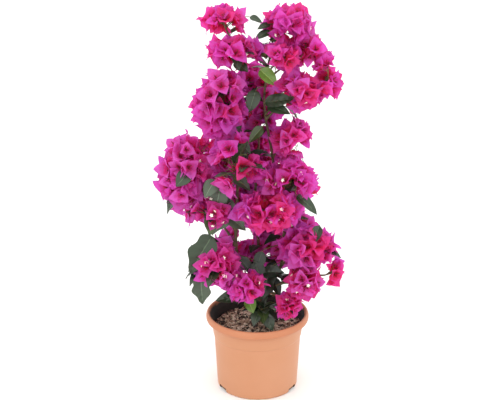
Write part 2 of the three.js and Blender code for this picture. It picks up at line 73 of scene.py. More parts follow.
# --- Trunk and main stems: the points that each axis runs through, and the radii from root to tip ---
TRUNK = SimpleNamespace(
    points=[(-6, 4, 118), (-4, 4, 134), (1, 3, 152), (9, 3, 174)],
    root_radius=9.5,
    neck_radius=5.2,
    tip_radius=4.4,
    flare=0.3,
)
STEMS = {
    "stem_left": SimpleNamespace(
        points=[(5, 3, 164), (-18, 0, 196), (-38, 2, 256), (-37, 4, 352),
                (-33, 4, 448), (-27, 4, 540), (-28, 0, 607)],
        root_radius=3.4,
        tip_radius=1.7,
        carries="upper_left",
    ),
    "stem_right": SimpleNamespace(
        points=[(7.5, 3, 170), (30, 0, 208), (50, 2, 262), (40, 4, 352),
                (25, 5, 448), (11, 6, 540), (22, 6, 632)],
        root_radius=3.6,
        tip_radius=1.7,
        carries="top",
    ),
    "stem_back": SimpleNamespace(
        points=[(3, 4, 156), (4, 26, 196), (2, 42, 256), (-4, 46, 352), (0, 46, 420), (4, 50, 492)],
        root_radius=3.2,
        tip_radius=1.8,
        carries="back_upper",
    ),
}

# --- Masses: the stem that carries each, its centre, its radii, its share of blossom and of open flowers ---
MASSES = [
    ("top_left", "stem_left", (-59, 0, 683), (44, 46, 28), 1, 0.02),
    ("top", "stem_right", (50, 5, 676), (46, 52, 37), 1, 0.02),
    ("shoulder_right", "stem_right", (93, 12, 628), (42, 52, 36), 1, 0.02),
    ("tip_right_high", "stem_right", (119, -10, 580), (29, 42, 42), 1, 0.02),
    ("upper_middle", "stem_right", (36, -42, 626), (36, 38, 30), 1, 0.04),
    ("upper_right", "stem_right", (70, -40, 572), (48, 44, 36), 0.85, 0.04),
    ("upper_left", "stem_left", (-41, -22, 633), (46, 48, 32), 0.85, 0.02),
    ("left_shoulder", "stem_left", (-66, -36, 548), (54, 48, 57), 1, 0.02),
    ("right_waist", "stem_right", (58, -24, 482), (40, 44, 38), 0.85, 0.04),
    ("left_side", "stem_left", (-135, -15, 413), (50, 50, 72), 0.95, 0.03),
    ("middle_left", "stem_left", (-38, -62, 444), (53, 46, 50), 0.85, 0.04),
    ("middle_right", "stem_right", (58, -50, 414), (52, 46, 37), 0.95, 0.06),
    ("middle", "stem_right", (17, -85, 369), (58, 44, 40), 1, 0.06),
    ("left_low", "stem_left", (-82, -42, 352), (40, 40, 32), 0.5, 0.34),
    ("right_low", "stem_right", (89, -45, 289), (58, 48, 41), 0.9, 0.08),
    ("tip_right_low", "stem_right", (134, -20, 231), (29, 29, 26), 1, 0.06),
    ("right_bottom", "stem_right", (82, -60, 232), (38, 42, 32), 1, 0.04),
    ("left_bottom", "stem_left", (-72, -52, 257), (48, 46, 46), 0.8, 0.2),
    ("left_leaves", "stem_left", (-103, 2, 250), (32, 34, 60), 0, 0),
    ("front_bottom", "stem_left", (-18, -72, 226), (38, 36, 29), 0.9, 0.18),
    ("right_foot", "stem_right", (56, -62, 186), (28, 28, 25), 1, 0.05),
    ("foot_leaves", "trunk", (8, -32, 163), (32, 34, 28), 0, 0),
    ("back_bottom", "stem_back", (-8, 78, 240), (70, 50, 46), 0.8, 0.05),
    ("back_low", "stem_back", (8, 98, 325), (62, 48, 48), 0.85, 0.06),
    ("back_middle", "stem_back", (-28, 90, 422), (66, 50, 54), 0.85, 0.06),
    ("back_upper", "stem_back", (10, 62, 541), (60, 48, 60), 0.85, 0.02),
    ("back_left", "stem_left", (-102, 66, 335), (46, 46, 55), 0.85, 0.06),
    ("back_right", "stem_right", (74, 64, 345), (44, 48, 60), 0.85, 0.06),
]

# --- The growth rule, as in the solids ---
BOUGH = SimpleNamespace(
    root_radius=2.5,
    tip_radius=1.6,
    of_stem=0.85,
    rise=0.5,
    shortest=18,
    first_share=0.06,
    last_share=0.97,
    entry=0.75,
    arch=0.18,
)
MASS_STEM = SimpleNamespace(tip_radius=1.3, overshoot=0.2, lead=0.45)
TWIG = SimpleNamespace(radius=0.9, lead=0.3, first_share=0.2, last_share=0.95)
BRACT = SimpleNamespace(
    shortest=26, longest=33, share=0.5, least=9, width=0.92, waist=0.48, open=0.95, cup=4, throat=2.6
)
LEAF = SimpleNamespace(
    shortest=34, longest=52, width=0.54, waist=0.42, fold=3, droop=0.6, tilt=0.4, stalk=5, reach=0.8
)
SIDE_LEAVES = [(0.8, 0), (0.5, math.pi)]  # the place on a twig, and the turn round it
SIDE_LEAF_SIZE = 0.8
SIDE_LEAF_LEAN = 0.6
AXIS = SimpleNamespace(rise=0.15, follow=0.5, least_alignment=0.3)
CLEAR = 0.3
TWIG_AREA = 1900
FEWEST_TWIGS = 3
CANDIDATES = 12
SPREAD = (0.7548776662466927, 0.5698402909980532)
PULL_IN = (1, 0.85, 0.7, 0.55)
ROLL_PER_TRY = 2
DEEPEST = 0.9
REACH_MARGIN = 7
LIMB_CLEARANCE = 3.5
TWIG_CLEARANCE = 1.8
POT_CLEARANCE = 2.5
LIMB_SPACING = 4
PATH_SPACING = 3
THIN_SPACING = 5
ELBOW_ROOM = 2

# --- What only the dressed bush has: finer twigs, and leaves along the stems and boughs ---
FINE = SimpleNamespace(
    area=680,  # square millimetres of a mass's outside for each finer twig
    leaf_area=4000,  # the same for a mass of leaves alone
    candidates=24,
    depths=(0.45, 1.35),  # where a finer twig may end, as a share of the mass's radii
    bias=0.8,  # less than 1, so that more of them end near the outside
    lead=0.45,  # how far it first follows the twig that it leaves, as a share of its reach
    spacing=16.5,  # between the ends of two twigs
    shortest=7,
    longest=58,
    places=(0.3, 0.5, 0.7, 0.9),  # on the twig that it leaves
    bract=0.86,  # the length of its bracts beside those of the first twigs
    sway=0.65,  # how far its flower turns aside
    radius=0.55,
    leaf_chance=0.15,
    leaf_length=(18, 32),
    leaf_place=0.15,  # on the finer twig
    leaf_depth=0.78,  # a side leaf among blossom keeps this deep in its mass
)
FIRST_BRACT = 0.95  # the length of a first twig's bracts beside those of the solids
KNIT = SimpleNamespace(width=13, margin=1.5)  # how far neighbouring masses run into each other
LUMPS = SimpleNamespace(scale=0.045, height=14, most=3)  # how the outside of the crown swells and sinks
HOLLOWS = SimpleNamespace(scale=0.032, level=-0.25)  # pockets with no blossom, by noise
CYME = SimpleNamespace(
    sides=2, spread=(0.5, 1.05), offset=(9, 13), drop=(2, 6), length=(0.78, 1), stalk=0.72, turn=0.8
)
STEM_LEAVES = SimpleNamespace(
    spacing=25, uneven=(0.8, 1.2), turn=2.4, lean=0.5, length=(30, 48), first=30, front=-22
)
STEM_SIDE = Vector((0.3, 1, 0.2))  # where the first leaf of a limb is turned from

Twig = namedtuple("Twig", "curve radius shade")
Flower = namedtuple("Flower", "root hub axis length roll shade")
Leaf = namedtuple("Leaf", "root base out length shade")

# --- Bridges, where sprays of neighbouring masses meet ---
# Each is the mass that grows it, its centre and its radii.
BRIDGE_BLOSSOM = 0.85
BRIDGES = [
    ("left_side", (-88, -20, 462), (26, 26, 26)),
    ("left_side", (-114, -12, 466), (30, 26, 21)),
    ("top", (14, 4, 640), (26, 26, 20)),
    ("back_upper", (8, 24, 496), (38, 24, 28)),
    ("back_upper", (16, 34, 600), (34, 28, 26)),
    ("back_middle", (-62, 30, 478), (34, 30, 30)),
    ("back_right", (84, 14, 412), (28, 30, 34)),
    ("back_left", (-92, 16, 372), (30, 30, 28)),
    ("back_low", (10, 30, 300), (36, 24, 26)),
    ("back_bottom", (54, 20, 250), (34, 34, 28)),
    ("right_low", (106, -40, 314), (24, 24, 15)),
    ("right_waist", (62, -30, 518), (22, 24, 13)),
    ("back_upper", (-46, 18, 545), (34, 34, 36)),
    ("back_upper", (56, 14, 568), (32, 32, 32)),
    ("back_right", (58, 16, 446), (32, 32, 34)),
    ("back_left", (-112, 28, 392), (34, 32, 34)),
    ("back_bottom", (-54, 18, 254), (32, 32, 28)),
    ("back_right", (84, 8, 304), (32, 32, 32)),
]

# --- Gaps and notches through which the sky shows from the front ---
# Each is x and z, level with the trunk, and a radius.
FRONT = Vector((-14, -1800, 984))
OPENINGS = [
    (-21, 296, 8), (-41, 662, 3), (99, 581, 4), (85, 606, 4), (12, 621, 2.5),
    (15, 604, 2.5), (47, 505, 4.5), (-72, 465, 2), (-5, 608, 3), (46, 653, 3),
    (-82, 290, 3.5), (-116, 350, 3.5), (24, 504, 3), (68, 458, 3), (25, 212, 3),
    (6, 385, 3), (-49, 550, 3), (31, 289, 3), (-86, 664, 4), (-106, 303, 9),
    (143, 672, 41), (158, 611, 26), (91, 516, 9), (98, 440, 15), (128, 395, 17),
    (116, 349, 17), (180, 246, 16), (144, 178, 15), (-207, 457, 41), (-192, 358, 24),
    (-93, 713, 16), (-116, 704, 11), (-109, 592, 18), (-160, 262, 39), (-68, 726, 16),
    (96, 350, 9), (106, 524, 9), (-74, 199, 3), (-115, 491, 6), (120, 226, 6),
    (-150, 506, 15), (162, 288, 16), (124, 531, 10),
]
# Places kept free of blossom, where leaves may stand.
CLEARINGS = [
    (-106, 268, 11), (-96, 292, 9), (32, 585, 8), (38, 545, 8), (-17, 545, 6),
]
# Places where the blossom before SHADED_FRONT stands aside and shows the shaded inside of the crown.
SHADED_FRONT = -22
SHADED = [
    (-24, 457, 9), (-26, 387, 10), (56, 382, 7), (-4, 483, 8), (7, 553, 9),
    (-68, 418, 6), (50, 300, 7), (-14, 275, 12), (-30, 604, 6), (20, 350, 4),
]


def seeded(seed):
    """A repeatable stream of numbers from 0 to 1 (mulberry32)."""
    mask = 0xFFFFFFFF
    state = seed & mask

    def draw():
        nonlocal state
        state = (state + 0x6D2B79F5) & mask
        t = ((state ^ (state >> 15)) * (1 | state)) & mask
        t = ((t + (((t ^ (t >> 7)) * (61 | t)) & mask)) & mask) ^ t
        return ((t ^ (t >> 14)) & mask) / 4294967296

    return draw


def between(low, high, share):
    return low + (high - low) * share


def clamp(value, low, high):
    return max(low, min(high, value))


# --- Curves ---
class Spline:
    """A Catmull-Rom curve through its points, carried straight on at both ends."""

    def __init__(self, points):
        inner = [Vector(point) for point in points]
        self.points = [2 * inner[0] - inner[1], *inner, 2 * inner[-1] - inner[-2]]

    def point(self, t):
        spans = len(self.points) - 3
        span = min(int(t * spans), spans - 1)
        u = t * spans - span
        before, start, end, after = self.points[span : span + 4]
        leave = 0.5 * (end - before)
        arrive = 0.5 * (after - start)
        square = 3 * (end - start) - 2 * leave - arrive
        cube = 2 * (start - end) + leave + arrive
        return start + u * leave + u**2 * square + u**3 * cube


class Bezier:
    """A quadratic Bezier curve."""

    def __init__(self, root, control, tip):
        self.root = root
        self.control = control
        self.tip = tip

    def point(self, t):
        return (1 - t) ** 2 * self.root + 2 * t * (1 - t) * self.control + t**2 * self.tip


def line(root, tip):
    return Bezier(root, (root + tip) / 2, tip)


def tangent(curve, t):
    step = 0.0001
    return (curve.point(min(t + step, 1)) - curve.point(max(t - step, 0))).normalized()


def length_of(curve, steps=60):
    points = [curve.point(i / steps) for i in range(steps + 1)]
    return sum((b - a).length for a, b in zip(points, points[1:]))


def path_along(curve, spacing):
    count = max(2, math.ceil(length_of(curve) / spacing))
    return [curve.point(i / count) for i in range(count + 1)]


# --- Limbs ---
def make_limb(curve, radius_at, kind):
    """A limb with the points and radii by which others keep clear of it."""
    count = math.ceil(length_of(curve) / LIMB_SPACING)
    shares = [i / count for i in range(count + 1)]
    return SimpleNamespace(
        curve=curve,
        radius_at=radius_at,
        kind=kind,
        samples=np.array([curve.point(t) for t in shares]),
        radii=np.array([radius_at(t) for t in shares]),
    )


def taper(root, tip):
    return lambda share: between(root, tip, share)


def trunk_radius_at(share):
    if share < TRUNK.flare:
        along = share / TRUNK.flare
        return TRUNK.neck_radius + (TRUNK.root_radius - TRUNK.neck_radius) * (1 - along) ** 2
    return between(TRUNK.neck_radius, TRUNK.tip_radius, (share - TRUNK.flare) / (1 - TRUNK.flare))


def axis_at_height(curve, height):
    """The place on a rising axis at a height, found by halving."""
    low, high = 0, 1
    for _ in range(30):
        middle = (low + high) / 2
        if curve.point(middle).z < height:
            low = middle
        else:
            high = middle
    return low


def make_bough(mass, stem):
    """A bough leaves its stem below the mass, rises outwards and ends where it enters the mass."""
    centre = Vector(mass.centre)
    level = stem.curve.point(axis_at_height(stem.curve, centre.z))
    reach = math.hypot(centre.x - level.x, centre.y - level.y)
    height = centre.z - BOUGH.shortest - BOUGH.rise * reach
    share = clamp(axis_at_height(stem.curve, height), BOUGH.first_share, BOUGH.last_share)
    root = stem.curve.point(share)
    back = root - centre
    depth = np.linalg.norm(np.array(back) / mass.radii)
    tip = centre + back * min(1, BOUGH.entry / depth)
    middle = (root + tip) / 2 + UP * BOUGH.arch * (root - tip).length
    root_radius = min(BOUGH.root_radius, stem.radius_at(share) * BOUGH.of_stem)
    return make_limb(Bezier(root, middle, tip), taper(root_radius, BOUGH.tip_radius), "bough")


# --- The space of each mass ---
def make_space(centre, radii, blossom, **more):
    """An ellipsoid with its share of blossom."""
    space = SimpleNamespace(mean=sum(radii) / 3, blossom=blossom, **more)
    space.centre = np.array(centre, float)
    space.radii = np.array(radii, float)
    return space


def make_masses():
    masses = [
        make_space(centre, radii, blossom, name=name, stem=stem, open_share=open_share)
        for name, stem, centre, radii, blossom, open_share in MASSES
    ]
    for mass in masses:
        others = [other for other in masses if other is not mass]
        away = np.array([other.centre - mass.centre for other in others])
        distances = np.linalg.norm(away, axis=1)
        mass.towards = away / distances[:, None]
        own = np.linalg.norm(mass.towards * mass.radii, axis=1)
        theirs = np.linalg.norm(mass.towards * np.array([other.radii for other in others]), axis=1)
        mass.limits = distances * own / (own + theirs) - CLEAR
    return masses


def make_bridges():
    return [make_space(centre, radii, BRIDGE_BLOSSOM, carrier=carrier) for carrier, centre, radii in BRIDGES]


def clear_of_pot(points):
    """Leaves hang over the soil, over the rim, or outside the rim no lower than halfway down the pot."""
    radius = np.hypot(points[:, 0], points[:, 1])
    is_over_rim = radius > COLLAR_TOP_RADIUS - WALL - POT_CLEARANCE
    floor = np.where(is_over_rim, POT_HEIGHT, SOIL_LEVEL) + POT_CLEARANCE
    floor = np.where(radius > RIM_RADIUS + POT_CLEARANCE, POT_HEIGHT / 2, floor)
    return bool(np.all(points[:, 2] > floor))


def in_space(mass, points):
    """True where the points keep to the mass's ellipsoid and to its side of each border, clear of the pot."""
    points = np.array(points)
    off = points - mass.centre
    if np.any(np.linalg.norm(off / (mass.radii + REACH_MARGIN), axis=1) > 1):
        return False
    return clear_of_pot(points) and bool(np.all(off @ mass.towards.T < mass.limits))


def in_crown(masses, points):
    """True where the points keep to the masses taken together, which run into each other where they meet."""
    points = np.array(points)
    depths = []
    for mass in masses:
        depths.append(np.linalg.norm((points - mass.centre) / mass.radii, axis=1) * mass.mean - mass.mean)
    joined = -KNIT.width * np.log(np.exp(-np.array(depths) / KNIT.width).sum(axis=0))
    swell = LUMPS.height * noise.noise(Vector(points[0]) * LUMPS.scale)
    return clear_of_pot(points) and bool(np.all(joined < KNIT.margin + min(LUMPS.most, swell)))


def in_opening(points, openings):
    """True where one of the points stands in an opening, seen from the front."""
    off = np.array(points) - np.array(FRONT)
    for x, z, radius in openings:
        sight = np.array((Vector((x, 0, z)) - FRONT).normalized())
        beside = off - np.outer(off @ sight, sight)
        if np.any(np.linalg.norm(beside, axis=1) < radius):
            return True
    return False


def depth_in(mass, point):
    """0 at the middle of the mass and 1 on its outside."""
    return float(np.linalg.norm((np.array(point) - mass.centre) / mass.radii))


def clear_of(points, balls, radii, clearance):
    """True where all the points keep off the balls by the clearance."""
    if len(balls) == 0:
        return True
    gaps = np.linalg.norm(np.array(points)[:, None] - balls[None], axis=2) - radii
    return bool(np.all(gaps > clearance))


# --- Where the blades of a flower or a leaf reach ---
def bract_directions(axis, roll):
    """The directions of a flower's three bracts, square to its axis."""
    first = Vector((1, 0.3, 0.2)).cross(axis).normalized()
    first = Matrix.Rotation(roll, 3, axis) @ first
    return [Matrix.Rotation(2 * math.pi * k / 3, 3, axis) @ first for k in range(3)]


def flower_blades(hub, axis, length, roll):
    """The left shoulder, tip and right shoulder of each bract."""
    blades = []
    for outward in bract_directions(axis, roll):
        across = axis.cross(outward) * length * BRACT.width / 2
        rib = outward * math.sin(BRACT.open) + axis * math.cos(BRACT.open)
        waist = hub + rib * length * BRACT.waist + axis * BRACT.cup
        blades.append((waist - across, hub + rib * length, waist + across))
    return blades


def leaf_frame(direction):
    """The leaf's own directions: along it, out of its upper face, and across it."""
    along = (direction - UP * LEAF.droop).normalized()
    normal = UP + direction * LEAF.tilt
    normal = (normal - along * normal.dot(along)).normalized()
    return along, normal, normal.cross(along)


def leaf_blades(base, direction, length):
    along, normal, across = leaf_frame(direction)
    waist = base + along * length * LEAF.waist + normal * LEAF.fold
    half = across * length * LEAF.width / 2
    return [(waist + half, base + along * length - normal * LEAF.fold, waist - half)]


def corners_of(blades):
    return [corner for blade in blades for corner in blade]


def sampled(apex, blades):
    """The corners of the blades, with the middles of their edges and faces."""
    points = []
    for left, tip, right in blades:
        points += [left, tip, right, (left + tip) / 2, (tip + right) / 2]
        points += [(apex + corner) / 2 for corner in (left, tip, right)]
        points += [(apex + left + tip) / 3, (apex + tip + right) / 3]
    return points


def flower_points(flower):
    return sampled(flower.hub, flower_blades(flower.hub, flower.axis, flower.length, flower.roll))


def leaf_points(leaf):
    return sampled(leaf.base, leaf_blades(leaf.base, leaf.out, leaf.length))


# --- Growth ---
def surface_area(radii):
    a, b, c = radii
    power = 1.6075  # Thomsen's rule
    mean = ((a * b) ** power + (a * c) ** power + (b * c) ** power) / 3
    return 4 * math.pi * mean ** (1 / power)


def even_direction(start, i):
    """Directions in a sequence whose every stretch is spread evenly over the sphere."""
    height = 1 - 2 * ((start[0] + i * SPREAD[0]) % 1)
    angle = 2 * math.pi * ((start[1] + i * SPREAD[1]) % 1)
    level = math.sqrt(1 - height * height)
    return Vector((math.cos(angle) * level, math.sin(angle) * level, height))


def scaled(direction, radii):
    return Vector(np.array(direction) * radii)


def start_growth(mass, bough, limbs, crown):
    """A mass before its twigs: its stem, the sizes of its flowers and leaves, and the limbs near it."""
    bract = clamp(BRACT.share * mass.mean + BRACT.least, BRACT.shortest, BRACT.longest)
    leaf = clamp(mass.mean, LEAF.shortest, LEAF.longest)
    spread = bract * math.sin(BRACT.open)
    flower_depth = bract * math.cos(BRACT.open) + spread**2 / (2 * mass.mean)
    root = bough.curve.point(1)
    centre = Vector(mass.centre)
    tip = centre + (centre - root) * MASS_STEM.overshoot
    control = root + tangent(bough.curve, 1) * (root - tip).length * MASS_STEM.lead
    balls = np.concatenate([limb.samples for limb in limbs])
    radii = np.concatenate([limb.radii for limb in limbs])
    near = np.linalg.norm(balls - mass.centre, axis=1) < mass.radii.max() + 2 * REACH_MARGIN
    return SimpleNamespace(
        mass=mass,
        crown=crown,
        stem=Bezier(root, control, tip),
        stem_radius=bough.radius_at(1),
        bract=bract,
        leaf=leaf,
        flower_depth=min(flower_depth, DEEPEST * mass.mean),
        leaf_depth=min(LEAF.reach * leaf, DEEPEST * mass.mean),
        limb_balls=balls[near],
        limb_radii=radii[near],
        own=np.empty((0, 3)),
        twigs=[],
        flowers=[],
        leaves=[],
    )


def settle(growth, apex, blades):
    """Takes the room of a flower or leaf where it is free, and says whether it was."""
    if not in_space(growth.mass, [apex, *corners_of(blades)]):
        return False
    samples = sampled(apex, blades)
    if not clear_of(samples, growth.limb_balls, growth.limb_radii, LIMB_CLEARANCE):
        return False
    if not clear_of(samples, growth.own, 0, ELBOW_ROOM):
        return False
    growth.own = np.concatenate([growth.own, np.array(samples)])
    return True


def twig_to(stem, target):
    """A straight twig leaves the stem a little before the point that is level with its target."""
    root = stem.point(0)
    whole = stem.point(1) - root
    along = (target - root).dot(whole) / whole.length_squared
    share = clamp(along - TWIG.lead, TWIG.first_share, TWIG.last_share)
    return line(stem.point(share), target)


def sideways(heading, reference, turn, lean):
    """A direction that leaves a heading sideways, turned round it, and leans towards it."""
    side = Matrix.Rotation(turn, 3, heading) @ heading.cross(reference).normalized()
    return (side + heading * lean).normalized()


def add_side_leaves(growth, twig, turn):
    heading = tangent(twig.curve, 0)
    length = SIDE_LEAF_SIZE * growth.leaf
    for place, extra in SIDE_LEAVES:
        out = sideways(heading, UP, turn + extra, SIDE_LEAF_LEAN)
        root = twig.curve.point(place)
        base = root + out * LEAF.stalk
        blades = leaf_blades(base, out, length)
        if growth.mass.blossom and depth_in(growth.mass, blades[0][1]) > FINE.leaf_depth:
            continue
        if settle(growth, base, blades):
            growth.leaves.append(Leaf(root, base, out, length, twig.shade))


def grow_twig(growth, direction, draw):
    """A twig towards a place on the outside of the mass, tried again further in where it doesn't fit."""
    mass = growth.mass
    outward = Vector(np.array(direction) / mass.radii).normalized()
    roll = 2 * math.pi * draw()
    leaf_turn = 2 * math.pi * draw()
    has_flower = draw() < mass.blossom
    depth = growth.flower_depth if has_flower else growth.leaf_depth
    outermost = scaled(direction, mass.radii) - outward * depth
    for share in PULL_IN:
        hub = Vector(mass.centre) + outermost * share
        curve = twig_to(growth.stem, hub)
        heading = tangent(curve, 1)
        axis = (outward + UP * AXIS.rise + heading * AXIS.follow).normalized()
        path = path_along(curve, PATH_SPACING)
        free = clear_of(path, growth.limb_balls, growth.limb_radii, TWIG_CLEARANCE)
        if not free or not in_space(mass, path) or axis.dot(heading) < AXIS.least_alignment:
            continue
        turned = roll + ROLL_PER_TRY * share
        if has_flower:
            blades = flower_blades(hub, axis, growth.bract, turned)
        else:
            blades = leaf_blades(hub, axis, growth.leaf)
        if not settle(growth, hub, blades):
            continue
        twig = Twig(curve, TWIG.radius, len(growth.twigs))
        growth.twigs.append(twig)
        if has_flower:
            add_cyme(growth, twig, hub, axis, FIRST_BRACT * growth.bract, turned)
        else:
            add_end_leaf(growth, twig, hub, axis)
        add_side_leaves(growth, twig, leaf_turn)
        return True
    return False


def add_end_leaf(growth, twig, hub, axis):
    growth.leaves.append(Leaf(hub, hub, axis, growth.leaf, twig.shade))


def add_cyme(growth, twig, hub, axis, length, roll):
    """Ends a twig in a cyme: a middle flower, with one on each side of it where there is room."""
    growth.flowers.append(Flower(None, hub, axis, length, roll, twig.shade))
    root = twig.curve.point(CYME.stalk)
    draw = seeded(round(1000 * roll) + len(growth.flowers))
    side = bract_directions(axis, roll + draw())[0]
    for k in range(CYME.sides):
        out = Matrix.Rotation(2 * math.pi * k / CYME.sides + CYME.turn * draw(), 3, axis) @ side
        place = hub + out * between(*CYME.offset, draw()) - axis * between(*CYME.drop, draw())
        heading = (axis + out * between(*CYME.spread, draw())).normalized()
        beside = length * between(*CYME.length, draw())
        turned = 2 * math.pi * draw()
        if in_crown(growth.crown, corners_of(flower_blades(place, heading, beside, turned))):
            growth.flowers.append(Flower(root, place, heading, beside, turned, twig.shade))


def places_on(twigs):
    """The points on the twigs that finer ones may leave, with the heading and the twig of each."""
    spots = [(twig, place) for twig in twigs for place in FINE.places]
    return SimpleNamespace(
        points=np.array([twig.curve.point(place) for twig, place in spots]),
        headings=np.array([tangent(twig.curve, place) for twig, place in spots]),
        twigs=[twig for twig, _ in spots],
    )


def nearest_place(places, target):
    """The place from which a finer twig best reaches the target without turning back, or None."""
    ahead = np.array(target) - places.points
    reach = np.linalg.norm(ahead, axis=1)
    fits = (reach > FINE.shortest) & (reach < FINE.longest) & ((places.headings * ahead).sum(axis=1) > 0)
    if not fits.any():
        return None
    best = int(np.argmin(np.where(fits, reach, np.inf)))
    return reach[best], Vector(places.points[best]), Vector(places.headings[best]), places.twigs[best]


def grow_finer(growth, mass, ends, draw):
    """Finer twigs leave the first ones for the free places in a mass or bridge, each with a cyme or a leaf.

    ends are the points where all the twigs end so far. They come back with the new ones.
    """
    places = places_on(growth.twigs)
    start = (draw(), draw())
    wanted = round(surface_area(mass.radii) / (FINE.area if mass.blossom else FINE.leaf_area))
    bract = FINE.bract * growth.bract
    grown = 0
    for i in range(FINE.candidates * wanted):
        direction = even_direction(start, i)
        share = between(*FINE.depths, draw() ** FINE.bias)
        roll = 2 * math.pi * draw()
        aside = even_direction((draw(), draw()), 0)
        leaf_draw = draw()
        has_flower = draw() < mass.blossom or (mass.blossom > 0 and share > FINE.leaf_depth)
        outward = Vector(np.array(direction) / mass.radii).normalized()
        depth = FINE.bract * growth.flower_depth if has_flower else growth.leaf_depth
        hub = Vector(mass.centre) + (scaled(direction, mass.radii) - outward * depth) * share
        if noise.noise(hub * HOLLOWS.scale) < HOLLOWS.level:
            continue
        if np.any(np.linalg.norm(ends - np.array(hub), axis=1) < FINE.spacing):
            continue
        found = nearest_place(places, hub)
        if found is None:
            continue
        reach, root, lead, parent = found
        curve = Bezier(root, root + lead * reach * FINE.lead, hub)
        axis = (outward + UP * AXIS.rise + tangent(curve, 1) * AXIS.follow + aside * FINE.sway).normalized()
        blades = flower_blades(hub, axis, bract, roll) if has_flower else leaf_blades(hub, axis, growth.leaf)
        if not in_crown(growth.crown, [hub, *corners_of(blades)]):
            continue
        if not clear_of([hub], growth.limb_balls, growth.limb_radii, LIMB_CLEARANCE):
            continue
        twig = Twig(curve, FINE.radius, parent.shade)
        growth.twigs.append(twig)
        ends = np.vstack([ends, hub])
        if has_flower:
            add_cyme(growth, twig, hub, axis, bract, roll)
        else:
            add_end_leaf(growth, twig, hub, axis)
        if leaf_draw < FINE.leaf_chance:
            add_axil_leaf(growth, twig, roll, leaf_draw / FINE.leaf_chance)
        grown += 1
        if grown == wanted:
            break
    return ends


def add_axil_leaf(growth, twig, turn, size):
    """A small leaf beside a finer twig, deep among the blossom."""
    out = sideways(tangent(twig.curve, 0), UP, turn, SIDE_LEAF_LEAN)
    root = twig.curve.point(FINE.leaf_place)
    base = root + out * LEAF.stalk
    length = between(*FINE.leaf_length, size)
    corners = corners_of(leaf_blades(base, out, length))
    is_deep = not growth.mass.blossom or depth_in(growth.mass, corners[1]) < FINE.leaf_depth
    if is_deep and in_space(growth.mass, corners):
        growth.leaves.append(Leaf(root, base, out, length, twig.shade))


def grow_mass(mass, index, bough, limbs, crown):
    """The first twigs of a mass, which are those of the solids."""
    draw = seeded(SEED + SEED_STEP * index)
    growth = start_growth(mass, bough, limbs, crown)
    wanted = max(FEWEST_TWIGS, round(surface_area(mass.radii) / TWIG_AREA))
    start = (draw(), draw())
    grown = 0
    for i in range(CANDIDATES * wanted):
        grown += grow_twig(growth, even_direction(start, i), draw)
        if grown == wanted:
            break
    return growth


def open_up(growth):
    """Clears what stands in the gaps of the crown, and the blossom before the large leaves."""
    kept = []
    for flower in growth.flowers:
        cleared = OPENINGS + CLEARINGS + (SHADED if flower.hub.y < SHADED_FRONT else [])
        if not in_opening(flower_points(flower), cleared):
            kept.append(flower)
    growth.flowers = kept
    growth.leaves = [leaf for leaf in growth.leaves if not in_opening(leaf_points(leaf), OPENINGS)]


def leaves_along(limb, draw):
    """Leaves stand alternately round a stem or bough, each a fixed turn on from the last."""
    total = length_of(limb.curve)
    distance = STEM_LEAVES.first if limb.kind == "stem" else STEM_LEAVES.spacing / 2
    turn = 2 * math.pi * draw()
    leaves = []
    while distance < total:
        share = distance / total
        out = sideways(tangent(limb.curve, share), STEM_SIDE, turn, STEM_LEAVES.lean)
        root = limb.curve.point(share)
        base = root + out * (limb.radius_at(share) + LEAF.stalk)
        length = between(*STEM_LEAVES.length, draw())
        tip = leaf_blades(base, out, length)[0][1]
        is_free = clear_of_pot(np.array([base, tip])) and not in_opening([base, tip], OPENINGS)
        if is_free and tip.y > STEM_LEAVES.front:
            leaves.append(Leaf(root, base, out, length, len(leaves)))
        turn += STEM_LEAVES.turn
        distance += STEM_LEAVES.spacing * between(*STEM_LEAVES.uneven, draw())
    return leaves


